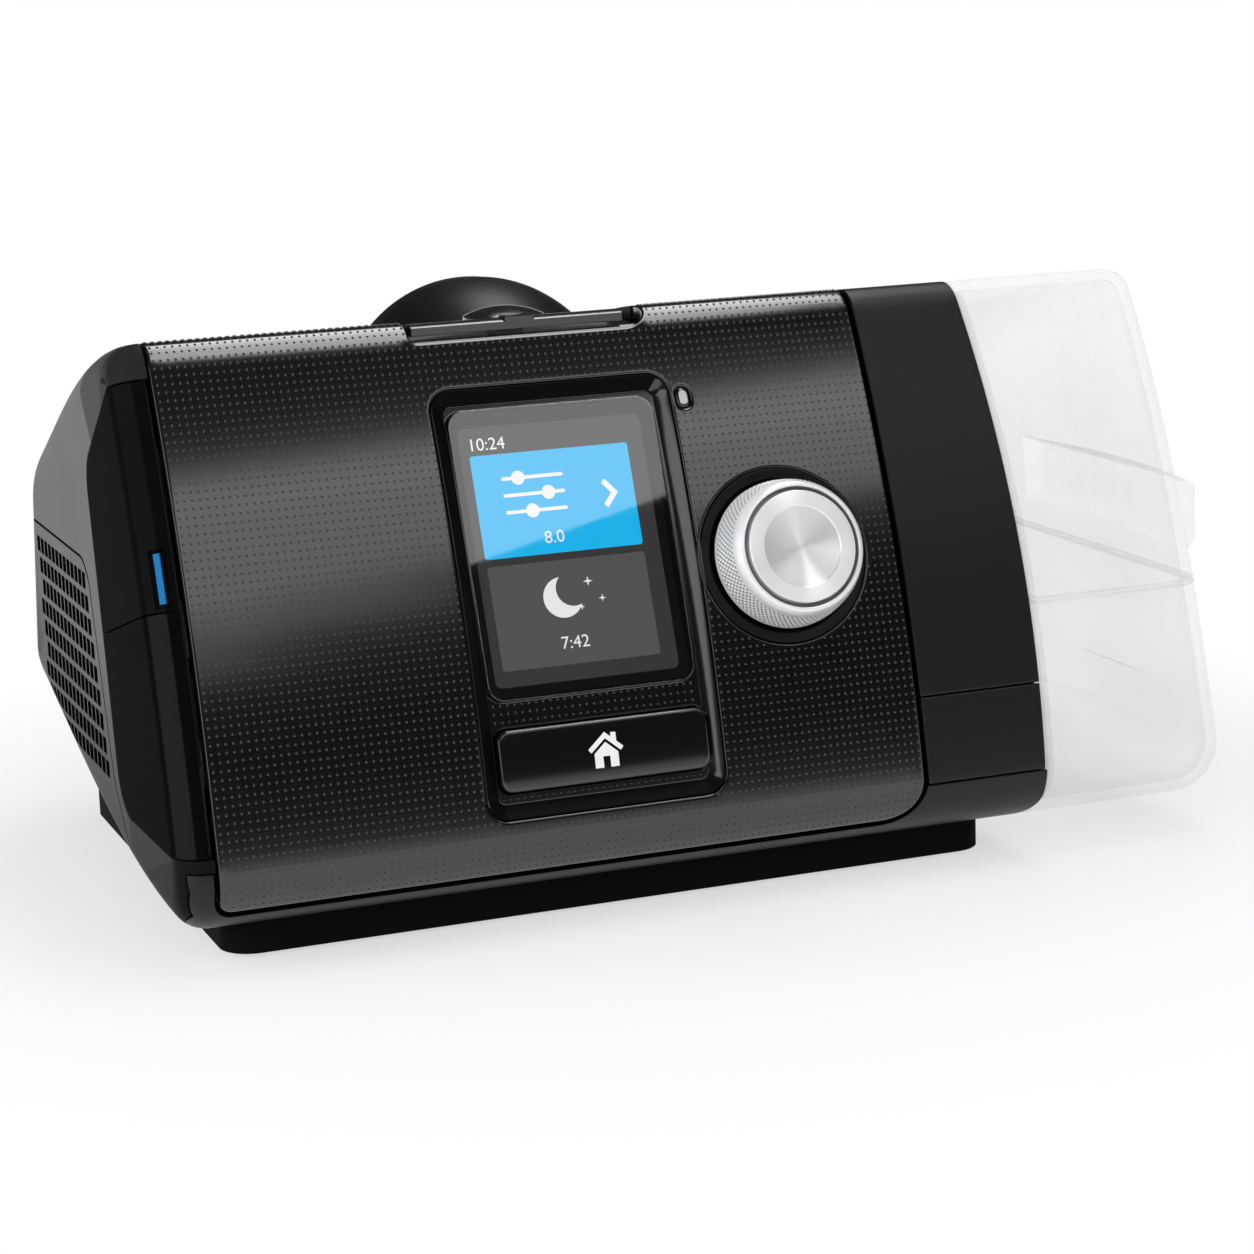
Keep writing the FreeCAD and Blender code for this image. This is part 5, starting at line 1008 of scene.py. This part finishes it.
SKIRT_LOW, SKIRT_HIGH, SKIRT_RADIUS, SKIRT_TAPER = 0.75, 6.85, 13.25, 0.95
skirt_heights = np.linspace(SKIRT_LOW, SKIRT_HIGH, 74)
skirt_radii = SKIRT_RADIUS - SKIRT_TAPER * ((skirt_heights - 0.3) / 6.5) ** 1.3
skirt = np.stack([skirt_radii, skirt_heights], axis=1)
foot = rolled([(KNOB_BORE, 0.32), (13.28, 0.32), (13.22, SKIRT_LOW)], 0.15)
crown = rolled([skirt[-1], (12.05, 7.7), (11.5, 8.75), (10.85, 8.9), (GROOVE_RADIUS, 8.3),
                (GROOVE_RADIUS, GROOVE_FLOOR), (KNOB_BORE, GROOVE_FLOOR)], 0.5, 7)
points, faces = turned(np.concatenate([foot[:-1], skirt, crown[1:]]), 800, dial_place, knurl)
knob = new_piece("dial_knob_knurled", points, faces, "dial_spin", knurl_metal, ["dial_knob"],
                 sharp=50)

# %% Painted shade in the grooves
radius, angle, height = on_dial(points)
ridge = np.clip(knurl(angle, height) / KNURL_HEIGHT + 0.5, 0, 1)
ridge[(height < KNURL_LOW) | (height > KNURL_HIGH) | (radius < 11.5)] = 1.0
layer = knob.data.attributes.new("ridge", "FLOAT", "POINT")
layer.data.foreach_set("value", ridge)
# The groove between the crown and the cap takes a darker grey copy of the metal: painted shade in that
# recess.
radius, angle, height = on_dial(rows_of(knob.data.polygons, "center"))
repaint(knob, groove_painted_shade_metal, (radius < GROOVE_RADIUS + 0.04) & (height < 8.6))
print("ridge heights from", ridge.min().round(2), "to", ridge.max().round(2))


# %% Dished cap
def spun(name, roughness, metallic):
    """Metal from a lathe: its highlights stretch across the turning marks, as rays from the middle."""
    material = moulded(name, METAL, roughness, 0.001, 4000, edge=0, metallic=metallic, variation=0.03)
    tree = material.node_tree
    marks = add(tree, "Tangent", direction_type="UV_MAP", uv_map="turn")
    fill(tree, tree.nodes["Principled BSDF"],
         {"Anisotropic": 0.9, "Anisotropic Rotation": 0.25, "Tangent": marks})
    return material


DISH_RADIUS = 7.1
spun_metal, rim_metal = spun("spun_metal", 0.34, 0.68), spun("rim_metal", 0.42, 0.52)
cap_rim = rolled([(9.7, 7.1), (10.0, 7.1), (10.0, 9.05), (9.85, 9.2), (7.3, 9.2), (7.15, 9.05)], 0.08, 4)
dish_radii = np.linspace(DISH_RADIUS, 0.0, 24)
dish = np.stack([dish_radii, 8.3 + 0.7 * (dish_radii / DISH_RADIUS) ** 2], axis=1)
points, faces = turned(np.concatenate([[(0.0, 7.08)], cap_rim, dish]), 180, dial_place)
cap = new_piece("dial_cap_spun", points, faces, "dial_spin", spun_metal, ["dial_cap"], sharp=25)
repaint(cap, rim_metal, on_dial(rows_of(cap.data.polygons, "center"))[0] > 7.2)


# %% The direction of the cap's turning marks
def turn_map(mesh):
    """A UV map whose u is the angle about the dial's axis, so the shader knows which way the lathe ran.
    A face across the seam gets u past 1, and a pole point gets the mean of its face's other two."""
    radius, angle, _ = on_dial(rows_of(mesh.vertices, "co"))
    turns = angle / (2 * math.pi) % 1.0
    corner, sizes = np.zeros(len(mesh.loops), int), np.zeros(len(mesh.polygons), int)
    mesh.loops.foreach_get("vertex_index", corner)
    mesh.polygons.foreach_get("loop_total", sizes)
    starts = np.concatenate([[0], np.cumsum(sizes)[:-1]])
    u, pole = turns[corner], radius[corner] < 1e-4
    highest = np.repeat(np.maximum.reduceat(np.where(pole, 0, u), starts), sizes)
    u = np.where((highest - u > 0.5) & ~pole, u + 1, u)
    sums = np.add.reduceat(np.where(pole, 0, u), starts) / np.add.reduceat((~pole).astype(float), starts)
    u = np.where(pole, np.repeat(sums, sizes), u)
    layer = mesh.uv_layers.new(name="turn")
    layer.data.foreach_set("uv", np.stack([u * 20, radius[corner]], axis=1).ravel())
    print("turning marks mapped on", len(mesh.polygons), "faces")


turn_map(cap.data)

# %% [markdown]
# ## Table, light and camera
# The floor is a wide disc that fades into plain white far from the machine but keeps its soft shadow. The
# world is white to the camera and through clear parts. To every other ray it is pale at the horizon and
# dark overhead, so the black front mirrors little but the lamps. The front softbox gives the broad sheen
# on the face, and three small ones shape that sheen's upper and lower edge. A strip overhead gives the
# bright line on the ridge, a softbox at the left lights that end, and two large fills brighten the shadows
# without showing in any mirror.


# %% Floor
FLOOR_RADII, FLOOR_SIDES = np.geomspace(0.05, 14, 40), 96


def or_ray(tree, factor, *kinds):
    """The larger of a factor and 1 for a ray of one of these kinds."""
    for kind in kinds:
        factor = combined(tree, "MAXIMUM", factor, add(tree, "LightPath", f"Is {kind} Ray"))
    return factor


floor_material, tree, shader = shader_tree("floor_white")
fill(tree, shader, {"Roughness": 0.9, "Specular IOR Level": 0.0,
                    "Base Color": tinted(tree, noise(tree, 3.0), (0.68, 0.68, 0.68), (0.7, 0.7, 0.7))})
distance = add(tree, "VectorMath", "Value", {0: add(tree, "TexCoord", "Object")}, operation="LENGTH")
fade = between(tree, distance, 0.6, 1.0, 0.09, 0.2, "SMOOTHSTEP")
seen = or_ray(tree, 0.0, "Camera", "Glossy", "Transmission")
blended(tree, combined(tree, "MULTIPLY", seen, fade), shader.outputs[0], add(tree, "Emission"))

rings = [np.pad(radius * spokes(full_turn(FLOOR_SIDES)), ((0, 0), (0, 1))) for radius in FLOOR_RADII]
points, faces = loft(rings)
floor_mesh = mesh_from("floor", points, [*faces, np.arange(FLOOR_SIDES)])
floor_mesh.materials.append(floor_material)
floor = placed("floor", floor_mesh)
print("the floor reaches", FLOOR_RADII[-1].round(1), "m")

# %% World
world = bpy.data.worlds.new("studio")
bpy.context.scene.world = world
world.use_nodes = True
tree = world.node_tree
HORIZON, OVERHEAD = 0.75, 0.03
upward = add(tree, "SeparateXYZ", "Z", {0: add(tree, "TexCoord", "Generated")})
sky = between(tree, upward, HORIZON, OVERHEAD, 0.03, 0.09, "SMOOTHSTEP")
fill(tree, tree.nodes["Background"],
     {"Color": (1, 1, 1, 1), "Strength": or_ray(tree, sky, "Camera", "Transmission")})
print("the world's strength in mirrors:", HORIZON, "at the horizon,", OVERHEAD, "overhead")


# %% Lamps
def direction(azimuth, elevation):
    """The unit vector towards an azimuth from the front and an elevation, both in radians."""
    return Vector((math.sin(azimuth) * math.cos(elevation), -math.cos(azimuth) * math.cos(elevation),
                   math.sin(elevation)))


def softbox(name, azimuth, elevation, distance, width, height, level, target=(-0.02, -0.06, 0.06),
            mirrored=True, tilt=0.0):
    """A rectangular lamp placed by its direction from the target, and turned to face it. Its power is
    level * pi * area, so `level` is how bright it looks. A fill lamp isn't mirrored in glossy surfaces."""
    away = direction(math.radians(azimuth), math.radians(elevation))
    lamp = bpy.data.lights.new(name, "AREA")
    lamp.shape, lamp.size, lamp.size_y = "RECTANGLE", width, height
    lamp.energy = level * math.pi * width * height
    holder = placed(name, lamp)
    holder.location = Vector(target) + away * distance
    leaned = away.to_track_quat("Z", "Y") @ Quaternion((0, 0, 1), math.radians(tilt))
    holder.rotation_euler = leaned.to_euler()
    holder.visible_glossy = mirrored
    print(f"{name}: {lamp.energy:.2f} W")


softbox("front_softbox", 22, 34.0, 1.3, 1.25, 0.262, 1.5, tilt=3)
softbox("front_softbox_upper", 22, 38.2, 1.31, 1.25, 0.11, 0.5)
softbox("front_softbox_low", 7, 23.9, 1.3, 0.2, 0.18, 0.85)
softbox("front_softbox_step", 14, 25.9, 1.3, 0.14, 0.1, 0.85)
softbox("ridge_strip", 0, 97, 1.3, 0.52, 1.75, 4.6, target=(0.4, -0.06, 0.06))
softbox("left_softbox", -73, 16, 1.4, 1.15, 0.85, 1.5)
softbox("left_fill", -92, 32, 1.5, 1.4, 1.2, 3.2, mirrored=False)
softbox("front_fill", -12, 34, 1.5, 1.3, 1.2, 2.2, mirrored=False)

# %% Camera
AZIMUTH, ELEVATION, ROLL = (math.radians(angle) for angle in (-20.7245, 12.0862, -2.0))
back_way = direction(AZIMUTH, ELEVATION)
level_right = Vector((math.cos(AZIMUTH), math.sin(AZIMUTH), 0))
level_up = back_way.cross(level_right)
right = level_right * math.cos(ROLL) + level_up * math.sin(ROLL)
up = level_up * math.cos(ROLL) - level_right * math.sin(ROLL)
camera_data = bpy.data.cameras.new("camera")
camera_data.sensor_width, camera_data.lens = 36, 92.19
camera = placed("camera", camera_data)
turn = Matrix((right, up, back_way)).transposed().to_4x4()
camera.matrix_world = Matrix.Translation((-0.2127, -0.5781, 0.1678)) @ turn
bpy.context.scene.camera = camera
bpy.context.scene.view_settings.view_transform = "Standard"
print("the camera stands", round(camera.location.length, 3), "m from the origin")
